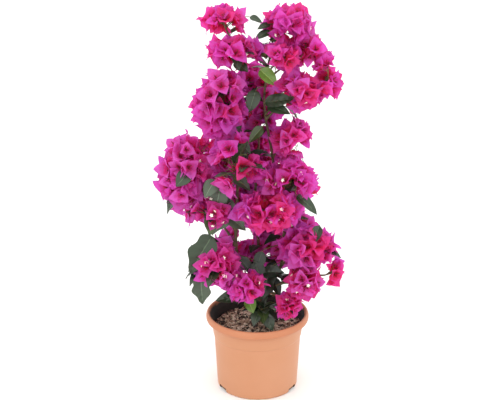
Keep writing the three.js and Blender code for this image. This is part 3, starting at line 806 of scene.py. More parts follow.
# --- Leaves that stand out: base, tip, width as a share of length, and shade ---
# Leaves given the deep shade stand in the crown's shaded hollows: their darkness is painted shade.
# Leaves given the grey shade carry a painted sheen in their colour.
STANDING_OUT = [
    ((-14, 0, 688), (8, -6, 679), 0.5, "dark"),
    ((20, 5, 648), (46, -5, 650), 0.45, "dark"),
    ((3, -30, 604), (32, -42, 579), 0.66, "bright"),
    ((5, -15, 626), (18, -25, 641), 0.7, "bright"),
    ((-40, -15, 614), (-16, -28, 600), 0.7, "dark"),
    ((-4, -20, 566), (-16, -36, 530), 0.6, "dark"),
    ((12, -22, 545), (62, -37, 556), 0.5, "dark"),
    ((16, -24, 540), (56, -40, 530), 0.5, "dark"),
    ((-117, -54, 431), (-141, -68, 409), 0.75, "dark"),
    ((-47, -30, 480), (-28, -48, 512), 0.5, "dark"),
    ((-74, -48, 415), (-92, -66, 388), 0.7, "grey"),
    ((-62, -38, 412), (-74, -56, 360), 0.6, "grey"),
    ((-50, -36, 380), (-82, -50, 312), 0.55, "grey"),
    ((-54, -50, 350), (-20, -66, 328), 0.6, "grey"),
    ((-80, -48, 312), (-122, -58, 240), 0.5, "dark"),
    ((-104, -12, 222), (-100, -22, 166), 0.6, "grey"),
    ((67, -64, 392), (103, -80, 362), 0.4, "dark"),
    ((108, -50, 331), (93, -68, 301), 0.5, "dark"),
    ((-5, -30, 255), (8, -44, 214), 0.6, "deep"),
    ((22, -24, 240), (8, -44, 184), 0.5, "deep"),
    ((8, -34, 236), (48, -48, 242), 0.55, "deep"),
    ((-25, -25, 184), (-58, -35, 181), 0.6, "dark"),
    ((-17, -30, 182), (-8, -48, 162), 0.8, "bright"),
    ((8, -30, 164), (28, -47, 126), 0.6, "grey"),
    ((68, -58, 224), (80, -72, 214), 0.5, "dark"),
    ((-32, -12, 180), (-78, -24, 176), 0.5, "dark"),
    ((-38, -18, 482), (-12, -32, 456), 0.55, "dark"),
    ((-42, -26, 414), (-12, -38, 392), 0.55, "grey"),
    ((8, -12, 500), (-16, -24, 474), 0.5, "olive"),
    ((58, -26, 410), (42, -36, 378), 0.5, "dark"),
    ((-18, -12, 440), (10, -22, 462), 0.5, "deep"),
    ((-34, -28, 262), (-8, -38, 234), 0.55, "deep"),
    ((8, -22, 272), (-4, -34, 236), 0.55, "deep"),
    ((20, 0, 676), (-2, -10, 669), 0.5, "dark"),
    ((18, -8, 242), (45, -30, 221), 0.5, "deep"),
    ((28, -8, 216), (41, -26, 184), 0.5, "deep"),
    ((20, 0, 664), (-6, -8, 652), 0.5, "dark"),
]


# --- Meshes ---
TUBE_SIDE = (1, 0.13, 0.05)  # where the rings of a tube start, unlike any limb's heading


def add_object(name, data):
    made = bpy.data.objects.new(name, data)
    bpy.context.scene.collection.objects.link(made)
    return made


def dress(piece, slot, nodes):
    """Gives a piece its body, and hides the nodes that it replaces. Its slot is not used."""
    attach(piece, "root")
    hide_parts(*nodes)


class Piece:
    """Gathers the points and faces of many small forms into one mesh."""

    def __init__(self, name, materials, slot, nodes, smooth=True):
        self.name = name
        self.materials = materials
        self.slot = slot
        self.nodes = nodes
        self.smooth = smooth
        self.points = []
        self.faces = []
        self.shades = []

    def add(self, points, faces, shades):
        """Takes points in millimetres, and the material's place in the list for each face or for them all."""
        first = len(self.points)
        self.points.extend(np.asarray(points).tolist())
        self.faces.extend([first + corner for corner in face] for face in faces)
        self.shades.extend([shades] * len(faces) if isinstance(shades, int) else shades)

    def build(self):
        mesh = bpy.data.meshes.new(self.name)
        mesh.from_pydata((np.array(self.points) * METRES).tolist(), [], self.faces)
        for material in self.materials:
            mesh.materials.append(material)
        mesh.polygons.foreach_set("material_index", self.shades)
        mesh.polygons.foreach_set("use_smooth", [self.smooth] * len(self.faces))
        dress(add_object(self.name, mesh), self.slot, self.nodes)


def grid_faces(rows, columns):
    """The quads of a grid of points in rows."""
    wide = columns + 1
    corners = [row * wide + column for row in range(rows) for column in range(columns)]
    return [(corner, corner + 1, corner + wide + 1, corner + wide) for corner in corners]


def ring_faces(rings, sides):
    """The quads between rings of points, each ring as many points as there are sides."""
    faces = []
    for here in range(0, (rings - 1) * sides, sides):
        for k in range(sides):
            after = (k + 1) % sides
            faces.append((here + k, here + after, here + sides + after, here + sides + k))
    return faces


def tube(path, radii, sides):
    """The points and faces of a tube along a path. radii has a row for each point, one wide or sides wide."""
    path = np.array(path)
    radii = np.broadcast_to(np.asarray(radii).reshape(len(path), -1), (len(path), sides))
    headings = np.gradient(path, axis=0)
    headings /= np.linalg.norm(headings, axis=1)[:, None]
    angles = np.arange(sides) * 2 * math.pi / sides
    side = np.array(TUBE_SIDE)
    rings = []
    for at, heading, radius in zip(path, headings, radii):
        side = side - heading * side.dot(heading)
        side /= np.linalg.norm(side)
        across = np.cross(heading, side)
        circle = np.outer(np.cos(angles), side) + np.outer(np.sin(angles), across)
        rings.append(at + circle * radius[:, None])
    last = (len(path) - 1) * sides
    ends = [tuple(range(sides))[::-1], tuple(range(last, last + sides))]
    return np.concatenate(rings), ring_faces(len(path), sides) + ends


# --- Bracts, flowers and leaves ---
BRACT_ROWS = 8
BRACT_COLUMNS = 6
BRACT_FACES = grid_faces(BRACT_ROWS, BRACT_COLUMNS)
BRACT_LINE = SimpleNamespace(peak=0.38, base_power=0.5, tip_power=1.12)
BRACT_WIDTH = 0.86  # a share of the length
BRACT_UNEVEN = (0.92, 1.08)  # the lengths of a flower's three bracts
LEAF_LINE = SimpleNamespace(peak=0.34, base_power=0.6, tip_power=1.05)
LEAF_COLUMNS = np.array([-1, -0.72, -0.4, -0.05, 0.05, 0.4, 0.72, 1])
LOBED = SimpleNamespace(from_length=54, depth=0.17, pace=14, turn=0.9)  # the largest leaves' edges
ZONES = (0.17, 0.36, 0.62)  # where the colour of a bract changes on its way from the throat to the tip
EDGE_ZONE = 0.14  # how much earlier it changes at the edge than along the rib
BRACT_FORM = SimpleNamespace(
    ends=(0.012, 0.988),  # where its first and last rows lie along its rib
    foot=1.5,  # its distance from the hub
    opening=(0.4, 0.8),  # its angle from the axis of the flower
    flare=(0.15, 0.85),  # how far its tip bends back
    flare_power=1.4,
    lean=(-0.35, 0.35),  # one edge higher than the other
    fold=(0.1, 0.5),
    fold_power=1.15,
    ripple=(0.14, 0.34),
    ripple_pace=(7.5, 1.3),  # along the rib and across it
    crinkle=0.022,
    crinkle_pace=(12, 4.5),
)
LEAF_FORM = SimpleNamespace(
    ends=(0.01, 0.99),
    bend=(0.2, 0.9),
    unbent=0.45,  # this far along its rib it keeps its direction
    fold=(0.12, 0.4),
    ripple=(0.05, 0.14),
    ripple_pace=(9, 2),
    rib=0.01,
    rib_width=0.2,
    vein=0.022,
    vein_pace=(5.5, 1.1),
)
LEAF_ROWS = SimpleNamespace(few=10, many=22, many_from=40)  # leaves of this length and more also have veins


def outline(u, shape):
    """The half width of a blade along its rib, from a narrow foot over the widest place to a pointed tip."""
    rise = (u / shape.peak) ** shape.base_power
    fall = ((1 - u) / (1 - shape.peak)) ** shape.tip_power
    return rise * fall


def bent_blade(base, start, normal, length, half_width, u, v, bend, lift):
    """A blade whose rib leaves its base towards start and bends away from normal by the angles in bend.

    lift is how far each point stands off the blade, towards its upper face.
    """
    base, start, normal = np.array(base), np.array(start), np.array(normal)
    step = np.diff(u[:, 0], prepend=0) * length
    along = np.cos(bend) * start + np.sin(bend) * -normal
    face = np.sin(bend) * start + np.cos(bend) * normal
    rib = base + np.cumsum(along * step[:, None], axis=0)
    across = np.cross(start, normal)
    points = rib[:, None] + (v * half_width)[..., None] * across + lift[..., None] * face[:, None]
    return points.reshape(-1, 3)


def bract_points(hub, axis, outward, length, draw):
    """The points of one papery bract, with its fold, its wavy edges and its crinkles."""
    form = BRACT_FORM
    u = np.linspace(*form.ends, BRACT_ROWS + 1)[:, None]
    v = np.linspace(-1, 1, BRACT_COLUMNS + 1)[None, :]
    opening = between(*form.opening, draw())
    flare = between(*form.flare, draw())
    ripple = between(*form.ripple, draw())
    phase = 2 * math.pi * draw()
    lean = between(*form.lean, draw())
    half_width = 0.5 * BRACT_WIDTH * length * outline(u, BRACT_LINE)
    fold = between(*form.fold, draw()) * np.abs(v) ** form.fold_power * half_width
    along, across = form.ripple_pace
    waves = ripple * v**2 * np.sin(along * u + phase + across * v) * half_width
    along, across = form.crinkle_pace
    crinkles = form.crinkle * length * np.sin(along * u + 2 * phase) * np.sin(across * v + phase)
    lift = fold + waves + crinkles + lean * v * half_width
    rib = outward * math.sin(opening) + axis * math.cos(opening)
    face = axis * math.sin(opening) - outward * math.cos(opening)
    bend = flare * u**form.flare_power
    return bent_blade(hub + axis * form.foot, rib, face, length, half_width, u, v, bend, lift)


def bract_zones():
    """The colour zone of each face of a bract. The inner colours run further out along the rib."""
    zones = []
    for row in range(BRACT_ROWS):
        for column in range(BRACT_COLUMNS):
            off_rib = abs((column + 0.5) / BRACT_COLUMNS * 2 - 1)
            reach = (row + 0.5) / BRACT_ROWS + EDGE_ZONE * off_rib
            zones.append(sum(reach > limit for limit in ZONES))
    return zones


BRACT_ZONES = bract_zones()
TUBE = SimpleNamespace(
    length=14,
    uneven=(0.8, 1.1),
    foot=1.2,
    radius=1.2,
    lean=0.4,
    sides=4,
    places=(0, 0.2, 0.8, 1),
    open_widths=(0.8, 1.25, 0.75, 1),
    bud_widths=(0.8, 1.25, 0.9, 0.35),
)
STAR = SimpleNamespace(lobes=5, radius=4, inner=2.2, cup=0.6)
STAR_SIDE = Vector((0.2, 0.9, 0.4))  # where the first lobe is turned from


def add_tube_and_star(piece, hub, axis, outward, is_open, draw):
    """A slender flower tube stands on the rib of its bract. It ends in a bud, or in a cream star."""
    heading = (axis + outward * TUBE.lean).normalized()
    length = TUBE.length * between(*TUBE.uneven, draw())
    start = hub + axis * TUBE.foot
    path = [start + heading * length * place for place in TUBE.places]
    radii = np.array(TUBE.open_widths if is_open else TUBE.bud_widths) * TUBE.radius
    piece.add(*tube(path, radii, TUBE.sides), 0)
    if not is_open:
        return
    side = heading.cross(STAR_SIDE).normalized()
    corners = [path[-1]]
    for k in range(2 * STAR.lobes):
        radius = STAR.radius if k % 2 == 0 else STAR.inner
        turned = Matrix.Rotation(math.pi * k / STAR.lobes, 3, heading) @ side
        corners.append(path[-1] + turned * radius + heading * STAR.cup)
    points = 2 * STAR.lobes
    piece.add(corners, [(0, 1 + k, 1 + (k + 1) % points) for k in range(points)], 1)


def add_flower(bracts, flowers, flower, shade, open_share, draw):
    """Three bracts of one shade round a throat, each with its slender tube."""
    zones = [shade * (len(ZONES) + 1) + zone for zone in BRACT_ZONES]
    for outward in bract_directions(flower.axis, flower.roll):
        length = flower.length * between(*BRACT_UNEVEN, draw())
        points = bract_points(flower.hub, flower.axis, outward, length, draw)
        bracts.add(points, BRACT_FACES, zones)
        add_tube_and_star(flowers, flower.hub, flower.axis, outward, draw() < open_share, draw)


def add_leaf(piece, base, along, normal, length, width, shade, draw):
    """A pointed leaf, folded along its rib, with sunken side veins and a wavy edge."""
    form = LEAF_FORM
    has_veins = length >= LEAF_ROWS.many_from
    rows = LEAF_ROWS.many if has_veins else LEAF_ROWS.few
    u = np.linspace(*form.ends, rows + 1)[:, None]
    v = LEAF_COLUMNS[None, :]
    half_width = 0.5 * width * length * outline(u, LEAF_LINE)
    if length > LOBED.from_length:
        half_width = half_width * (1 + LOBED.depth * np.sin(LOBED.pace * u + LOBED.turn * np.sign(v)))
    lift = between(*form.fold, draw()) * np.abs(v) * half_width
    phase = 2 * math.pi * draw()
    forth, aside = form.ripple_pace
    lift = lift + between(*form.ripple, draw()) * v**2 * np.sin(forth * u + phase + aside * v) * half_width
    lift = lift - form.rib * length * np.exp(-((v / form.rib_width) ** 2))
    if has_veins:
        forth, aside = form.vein_pace
        veins = np.cos(2 * math.pi * (forth * u - aside * np.abs(v))) * (1 - np.abs(v)) ** 0.5
        lift = lift - form.vein * length * veins
    bend = between(*form.bend, draw()) * (u - form.unbent)
    points = bent_blade(base, along, normal, length, half_width, u, v, bend, lift)
    columns = len(LEAF_COLUMNS) - 1
    shades = [2 * shade + (column == columns // 2) for _ in range(rows) for column in range(columns)]
    piece.add(points, grid_faces(rows, columns), shades)


# --- Materials ---
PAPER = SimpleNamespace(translucency=0.55, roughness=0.6, specular=0.3)
RESIDUE_AND_SHADE = SimpleNamespace(low=144, high=150, uneven=12)  # the heights between which the inner wall's soil residue and painted shade end


def rgba(colour):
    """The linear, opaque colour of a six-digit sRGB one."""
    parts = [int(colour[i : i + 2], 16) / 255 for i in (0, 2, 4)]
    return (*[part / 12.92 if part < 0.04045 else ((part + 0.055) / 1.055) ** 2.4 for part in parts], 1)


def new_material(name):
    material = bpy.data.materials.new(name)
    material.use_nodes = True
    return material, material.node_tree.nodes["Principled BSDF"]


def plain_material(name, colour, roughness, specular=0.5):
    material, shader = new_material(name)
    shader.inputs["Base Color"].default_value = rgba(colour)
    shader.inputs["Roughness"].default_value = roughness
    shader.inputs["Specular IOR Level"].default_value = specular
    return material


def connect(tree, node, values, links):
    """Puts plain values in some sockets of a node and other nodes' outputs in others."""
    for socket, value in values.items():
        node.inputs[socket].default_value = value
    for socket, output in links.items():
        tree.links.new(output, node.inputs[socket])
    return node


def add_node(tree, kind, values, links):
    return connect(tree, tree.nodes.new(kind), values, links)


def blend(tree, values, links):
    """The colour between A and B that is given by Factor."""
    node = tree.nodes.new("ShaderNodeMix")
    node.data_type = "RGBA"
    return connect(tree, node, values, links).outputs["Result"]


def papery_material(name, colour):
    """A thin bract, which also passes on the light from behind it."""
    material = plain_material(name, colour, PAPER.roughness, PAPER.specular)
    tree = material.node_tree
    through = add_node(tree, "ShaderNodeBsdfTranslucent", {"Color": rgba(colour)}, {})
    links = {1: tree.nodes["Principled BSDF"].outputs["BSDF"], 2: through.outputs["BSDF"]}
    mix = add_node(tree, "ShaderNodeMixShader", {"Fac": PAPER.translucency}, links)
    tree.links.new(mix.outputs["Shader"], tree.nodes["Material Output"].inputs["Surface"])
    return material


def noise_node(tree, scale, detail, coordinates):
    values = {"Scale": scale, "Detail": detail}
    return add_node(tree, "ShaderNodeTexNoise", values, {"Vector": coordinates}).outputs["Fac"]


def ramp_node(tree, factor, stops):
    node = add_node(tree, "ShaderNodeValToRGB", {}, {"Fac": factor})
    elements = node.color_ramp.elements
    while len(elements) < len(stops):
        elements.new(0.5)
    for element, (position, colour) in zip(elements, stops):
        element.position = position
        element.color = rgba(colour)
    return node.outputs["Color"]


def add_bump(tree, shader, height, strength, distance):
    bump = add_node(tree, "ShaderNodeBump", {"Strength": strength, "Distance": distance}, {"Height": height})
    tree.links.new(bump.outputs["Normal"], shader.inputs["Normal"])


def object_coordinates(tree, stretch=(1, 1, 1)):
    source = tree.nodes.new("ShaderNodeTexCoord").outputs["Object"]
    return add_node(tree, "ShaderNodeMapping", {"Scale": stretch}, {"Vector": source}).outputs["Vector"]


def height_in(tree, coordinates):
    return add_node(tree, "ShaderNodeSeparateXYZ", {}, {"Vector": coordinates}).outputs["Z"]


def rise_between(tree, low, high, height):
    """Goes from 0 to 1 between two heights in millimetres."""
    values = {"From Min": low * METRES, "From Max": high * METRES}
    return add_node(tree, "ShaderNodeMapRange", values, {"Value": height}).outputs["Result"]


def patterned_material(name, scale, stops, roughness, bump, stretch=(1, 1, 1), detail=6):
    """A material whose colour and relief follow one noise."""
    material, shader = new_material(name)
    tree = material.node_tree
    pattern = noise_node(tree, scale, detail, object_coordinates(tree, stretch))
    tree.links.new(ramp_node(tree, pattern, stops), shader.inputs["Base Color"])
    shader.inputs["Roughness"].default_value = roughness
    add_bump(tree, shader, pattern, *bump)
    return material


def pot_material():
    """Peach-coloured plastic, a little deeper on the rim and, as painted shade, just under the lip, with a
    fine moulded grain and faint cloudiness.
    """
    material, shader = new_material("pot_plastic")
    tree = material.node_tree
    coordinates = object_coordinates(tree)
    # the deeper colour is partly the rim's own plastic; where it fades in below the lip's foot, under the
    # overhang, it is painted shade
    rim_and_lip_shade = rise_between(tree, LIP_FOOT - 8, LIP_FOOT + 4, height_in(tree, coordinates))
    body = ramp_node(tree, noise_node(tree, 9, 3, coordinates), [(0.3, "bd825d"), (0.7, "c28966")])
    rim = ramp_node(tree, noise_node(tree, 14, 4, coordinates), [(0.3, "b36e48"), (0.7, "bc7954")])
    colour = blend(tree, {}, {"Factor": rim_and_lip_shade, "A": body, "B": rim})
    tree.links.new(colour, shader.inputs["Base Color"])
    shader.inputs["Roughness"].default_value = 0.46
    add_bump(tree, shader, noise_node(tree, 900, 2, coordinates), 0.12, 0.0004)
    return material


def inside_material():
    """The pot's inner wall, darkened up to just under its rim by soil residue and painted shade."""
    material, shader = new_material("pot_inside")
    tree = material.node_tree
    coordinates = object_coordinates(tree)
    pattern = noise_node(tree, 60, 5, coordinates)
    uneven = tree.nodes.new("ShaderNodeMath")
    uneven.operation = "MULTIPLY_ADD"
    connect(tree, uneven, {1: RESIDUE_AND_SHADE.uneven * METRES}, {0: pattern, 2: height_in(tree, coordinates)})
    above_residue_and_shade = rise_between(tree, RESIDUE_AND_SHADE.low, RESIDUE_AND_SHADE.high, uneven.outputs["Value"])
    # near-black colours of the inner wall: partly soil residue, partly painted shade
    residue_and_shade_colour = ramp_node(tree, pattern, [(0.3, "160e0c"), (0.7, "2c1d17")])
    colour = blend(tree, {"B": rgba("b5704c")}, {"Factor": above_residue_and_shade, "A": residue_and_shade_colour})
    tree.links.new(colour, shader.inputs["Base Color"])
    shader.inputs["Roughness"].default_value = 0.8
    add_bump(tree, shader, pattern, 0.4, 0.0006)
    return material


# Each spray of blossom takes one of these shades. Its colours run from the throat of a bract to its edge.
BRACT_SHADES = {
    "magenta": ("e02854", "e43484", "e242b0", "e054c2"),
    "light": ("e43060", "e64496", "e456b8", "e264c8"),
    "rose": ("e2264c", "e63076", "e63e9a", "e64eb0"),
    "violet": ("d82a5c", "d83896", "d648b6", "d65ac6"),
    "crimson": ("de203e", "e22a5a", "e6347c", "e64296"),
}
OUTER_DEAL = ("magenta", "light", "violet", "magenta", "light", "rose", "magenta", "light")
INNER_SHADE_DEAL = ("crimson", "rose", "magenta", "crimson", "rose")
INNER_SHADE_DEPTH = 0.45  # sprays deeper than this in their mass take redder colours, as painted shade of the crown's inside
LEAF_SHADES = {
    "dark": ("2c3c26", "4e6044"),
    # deep: a near-black green, painted shade where it is given to leaves in the crown's hollows; it is also
    # dealt at random
    "deep": ("182416", "34462e"),
    "olive": ("3f4f2a", "667848"),
    "bright": ("64883a", "90ae5c"),
    # grey: a painted sheen, the sky's reflection on glossy leaves put into their colour; it is also dealt at
    # random
    "grey": ("4a5a46", "6e8068"),
}
LEAF_DEAL = ("dark", "deep", "dark", "olive", "dark", "deep", "grey")
LEAF_WIDTHS = (0.5, 0.68)  # shares of the length
TOWARDS_FRONT = Vector((0.1, -0.75, 0.65))  # where the faces of the leaves that stand out look


# --- Limbs with their bark ---
BARK = SimpleNamespace(
    spacing=1.6,
    ridge=SimpleNamespace(height=0.1, around=2.2, along=0.05),
    lump=SimpleNamespace(height=0.14, around=0.9, along=0.16),
    scar=SimpleNamespace(spacing=21, uneven=3, pace=0.02, height=0.2, width=2.2),
)


def bark_radii(curve, radius_at, path, sides, seed):
    """The radii of a limb's rings, with lengthwise ridges, lumps and a swelling at each leaf scar."""
    ridge, lump, scar = BARK.ridge, BARK.lump, BARK.scar
    total = length_of(curve)
    radii = np.empty((len(path), sides))
    for i in range(len(path)):
        share = i / (len(path) - 1)
        distance = share * total
        past_scar = (distance + scar.uneven * noise.noise((seed, distance * scar.pace, 0))) % scar.spacing
        to_scar = min(past_scar, scar.spacing - past_scar)
        swelling = scar.height * math.exp(-((to_scar / scar.width) ** 2))
        for k in range(sides):
            angle = 2 * math.pi * k / sides
            around = Vector((math.cos(angle), math.sin(angle), 0))
            ridged = noise.noise(around * ridge.around + Vector((seed, 0, distance * ridge.along)))
            lumpy = noise.noise(around * lump.around + Vector((0, seed, distance * lump.along)))
            radii[i, k] = radius_at(share) * (1 + ridge.height * ridged + lump.height * lumpy + swelling)
    return radii


def add_limb(piece, curve, radius_at, sides, seed, shade):
    path = path_along(curve, BARK.spacing)
    piece.add(*tube(path, bark_radii(curve, radius_at, path, sides, seed), sides), shade)


def collared(radius_at, height=0.5, reach=0.12):
    """A limb's radius with a collar where it leaves its parent."""
    return lambda share: radius_at(share) * (1 + height * math.exp(-((share / reach) ** 2)))


# --- Pot and soil ---
def circle(radius, count):
    """The x and y of points round the axis."""
    angles = [2 * math.pi * k / count for k in range(count)]
    return [(radius * math.cos(angle), radius * math.sin(angle)) for angle in angles]


def lathe(profile, segments):
    """A closed body of revolution about Z from its outline, both of whose ends lie on the axis."""
    mesh = bmesh.new()
    rings = []
    for radius, z in profile:
        around = circle(radius * METRES, segments) if radius else [(0, 0)]
        rings.append([mesh.verts.new((x, y, z * METRES)) for x, y in around])
    for low, high in zip(rings, rings[1:]):
        for k in range(segments):
            after = (k + 1) % segments
            corners = [low[k % len(low)], low[after % len(low)], high[after % len(high)], high[k % len(high)]]
            mesh.faces.new(dict.fromkeys(corners))
    bmesh.ops.recalc_face_normals(mesh, faces=mesh.faces)
    return mesh


def rounded(profile, rounding=1.2, steps=3):
    """The outline with its corners rounded off."""
    points = [Vector(point) for point in profile]
    result = [tuple(points[0])]
    for before, corner, after in zip(points, points[1:], points[2:]):
        reach = min(rounding, (corner - before).length * 0.4, (after - corner).length * 0.4)
        start = corner + (before - corner).normalized() * reach
        end = corner + (after - corner).normalized() * reach
        for i in range(steps + 1):
            t = i / steps
            result.append(tuple((1 - t) ** 2 * start + 2 * t * (1 - t) * corner + t**2 * end))
    result.append(tuple(points[-1]))
    return result


def object_from(name, mesh):
    data = bpy.data.meshes.new(name)
    mesh.to_mesh(data)
    mesh.free()
    return add_object(name, data)


def cut(body, tool):
    """Cuts the tool's shape out of the body, and removes the tool."""
    boolean = body.modifiers.new("cut", "BOOLEAN")
    boolean.operation = "DIFFERENCE"
    boolean.solver = "EXACT"
    boolean.object = tool
    result = bpy.data.meshes.new_from_object(body.evaluated_get(bpy.context.evaluated_depsgraph_get()))
    body.modifiers.remove(boolean)
    body.data = result
    bpy.data.objects.remove(tool)


def tool_from(mesh, place, turn):
    """A cutting tool, moved from the origin to its place and then turned round the pot's axis."""
    bmesh.ops.translate(mesh, vec=Vector(place) * METRES, verts=mesh.verts)
    bmesh.ops.rotate(mesh, matrix=Matrix.Rotation(turn, 3, "Z"), verts=mesh.verts)
    return object_from("tool", mesh)


def slot_tool(turn):
    mesh = bmesh.new()
    bmesh.ops.create_cube(mesh, size=1)
    size = Vector((SLOT.width, 2 * SLOT.depth, 2 * SLOT.height)) * METRES
    bmesh.ops.scale(mesh, vec=size, verts=mesh.verts)
    upright = [edge for edge in mesh.edges if all(vert.co.z > 0 for vert in edge.verts)]
    offset = SLOT.rounding * METRES
    bmesh.ops.bevel(mesh, geom=upright, offset=offset, segments=4, profile=0.5, affect="EDGES")
    return tool_from(mesh, (0, BASE_RADIUS, 0), turn)


def drain_tool(turn):
    mesh = bmesh.new()
    radius = DRAIN.radius * METRES
    depth = 3 * WALL * METRES
    bmesh.ops.create_cone(mesh, cap_ends=True, segments=32, radius1=radius, radius2=radius, depth=depth)
    return tool_from(mesh, (DRAIN.circle, 0, WALL / 2), turn)


def make_pot():
    """The moulded pot, turned from its outline, with the slots round its foot and its drain holes."""
    profile = [
        (0, 0),
        (BASE_RADIUS - 2, 0),
        (BASE_RADIUS, 2),
        (BODY_TOP_RADIUS, COLLAR_FOOT - 1),
        (BODY_TOP_RADIUS + COLLAR_STEP, COLLAR_FOOT + 1),
        (COLLAR_TOP_RADIUS, LIP_FOOT),
        (RIM_RADIUS - 2.5, LIP_FOOT + 0.5),
        (RIM_RADIUS - 0.5, LIP_FOOT + 3),
        (RIM_RADIUS, LIP_FOOT + 8),
        (RIM_RADIUS - 1, POT_HEIGHT - 2.5),
        (RIM_RADIUS - 3.5, POT_HEIGHT),
        (RIM_RADIUS - 6.5, POT_HEIGHT - 1),
        (COLLAR_TOP_RADIUS + 1, LIP_FOOT + 6),
        (COLLAR_TOP_RADIUS - WALL, LIP_FOOT),
        (BODY_TOP_RADIUS - WALL, COLLAR_FOOT),
        (BASE_RADIUS - WALL, WALL + 2),
        (BASE_RADIUS - WALL - 2, WALL),
        (0, WALL),
    ]
    pot = object_from("pot_dressed", lathe(rounded(profile), POT_SEGMENTS))
    for k in range(SLOT.count):
        cut(pot, slot_tool(2 * math.pi * k / SLOT.count))
    for k in range(DRAIN.count):
        cut(pot, drain_tool(2 * math.pi * (k + 0.5) / DRAIN.count))
    pot.data.materials.clear()
    pot.data.materials.append(pot_material())
    pot.data.materials.append(inside_material())
    for face in pot.data.polygons:
        is_inward = face.normal.x * face.center.x + face.normal.y * face.center.y < 0
        on_wall = face.center.xy.length > (BASE_RADIUS - 2 * WALL) * METRES and face.center.z > WALL * METRES
        face.material_index = int(is_inward and on_wall)
    pot.data.polygons.foreach_set("use_smooth", [True] * len(pot.data.polygons))
    pot.data.set_sharp_from_angle(angle=SHARPEST)
    dress(pot, "pot", ["pot"])


SOIL = SimpleNamespace(rings=60, segments=180, centre=0.01, flat=16, edge=80.5, foot=71.9, base=2.3)
SOIL_RELIEF = [(4, 0.06, 3), (3.2, 0.16, 7), (1.3, 0.42, 11)]  # the height, scale and place of each noise
CRUMBS = SimpleNamespace(
    count=1500,
    size=(0.7, 6.2),
    bias=3.4,  # more than 1, so that most are small
    stretches=[(0.6, 1.9), (0.6, 1.1), (0.35, 0.8)],  # along, across and up
    lumps=0.9,
    scale=1.7,
)
FIBRES = SimpleNamespace(
    count=170,
    margin=11,
    lift=0.6,
    length=(4, 19),
    rise=(-0.15, 0.3),
    bow=(-0.3, 0.3),
    radius=(0.2, 0.62),
    widths=(0.3, 0.8, 1, 1, 0.9, 0.7, 0.25),
    sides=5,
)


def soil_height(x, y):
    """The lumpy surface of the soil, which falls a little towards the pot's wall."""
    share = clamp((math.hypot(x, y) - SOIL.flat) / (SOIL.edge - SOIL.flat), 0, 1)
    level = between(SOIL_LEVEL, SOIL_EDGE_LEVEL, share**2)
    relief = [height * noise.noise((x * scale, y * scale, place)) for height, scale, place in SOIL_RELIEF]
    return level + sum(relief)


def make_soil(materials):
    """The body of the soil in the pot, with its lumpy top."""
    piece = Piece("soil_dressed", materials, "soil", ["soil"])
    points = []
    for radius in (SOIL.centre, SOIL.foot):
        points += [(x, y, SOIL.base) for x, y in circle(radius, SOIL.segments)]
    for ring in range(SOIL.rings, -1, -1):
        radius = max(SOIL.centre, SOIL.edge * ring / SOIL.rings)
        points += [(x, y, soil_height(x, y)) for x, y in circle(radius, SOIL.segments)]
    piece.add(points, ring_faces(len(points) // SOIL.segments, SOIL.segments), 0)
    piece.build()


def spot_on_soil(margin, draw):
    """A place on the soil that stays off the pot's wall by the margin."""
    radius = (SOIL.edge - margin) * math.sqrt(draw())
    angle = 2 * math.pi * draw()
    x, y = radius * math.cos(angle), radius * math.sin(angle)
    return Vector((x, y, soil_height(x, y)))


def make_crumbs(materials, draw):
    """Lumps of peat and bark that lie on the soil."""
    ball = bmesh.new()
    bmesh.ops.create_icosphere(ball, subdivisions=1, radius=1)
    points = [vert.co.copy() for vert in ball.verts]
    faces = [[vert.index for vert in face.verts] for face in ball.faces]
    ball.free()
    piece = Piece("soil_crumbs", materials, "soil", ["soil"], smooth=False)
    for i in range(CRUMBS.count):
        size = between(*CRUMBS.size, draw() ** CRUMBS.bias)
        at = spot_on_soil(2 * size + 1, draw)
        stretch = Vector([between(*limits, draw()) for limits in CRUMBS.stretches])
        turn = Matrix.Rotation(2 * math.pi * draw(), 3, "Z")
        own = Vector((i, 0, 0))
        lumps = [point * (1 + CRUMBS.lumps * noise.noise(point * CRUMBS.scale + own)) for point in points]
        piece.add([at + turn @ (lump * stretch) * size for lump in lumps], faces, i % len(materials))
    piece.build()


def make_fibres(materials, draw):
    """Pale slivers and root fibres in the soil."""
    piece = Piece("soil_fibres", materials, "soil", ["soil"])
    shares = np.linspace(-1, 1, len(FIBRES.widths))
    for i in range(FIBRES.count):
        at = spot_on_soil(FIBRES.margin, draw) + UP * FIBRES.lift
        length = between(*FIBRES.length, draw() ** 2)
        angle = 2 * math.pi * draw()
        heading = Vector((math.cos(angle), math.sin(angle), between(*FIBRES.rise, draw())))
        side = heading.cross(UP).normalized()
        bow = between(*FIBRES.bow, draw()) * length
        path = [at + heading * length * share / 2 + side * bow * (1 - share**2) for share in shares]
        radii = between(*FIBRES.radius, draw()) * np.array(FIBRES.widths)
        piece.add(*tube(path, radii, FIBRES.sides), i % len(materials))
    piece.build()


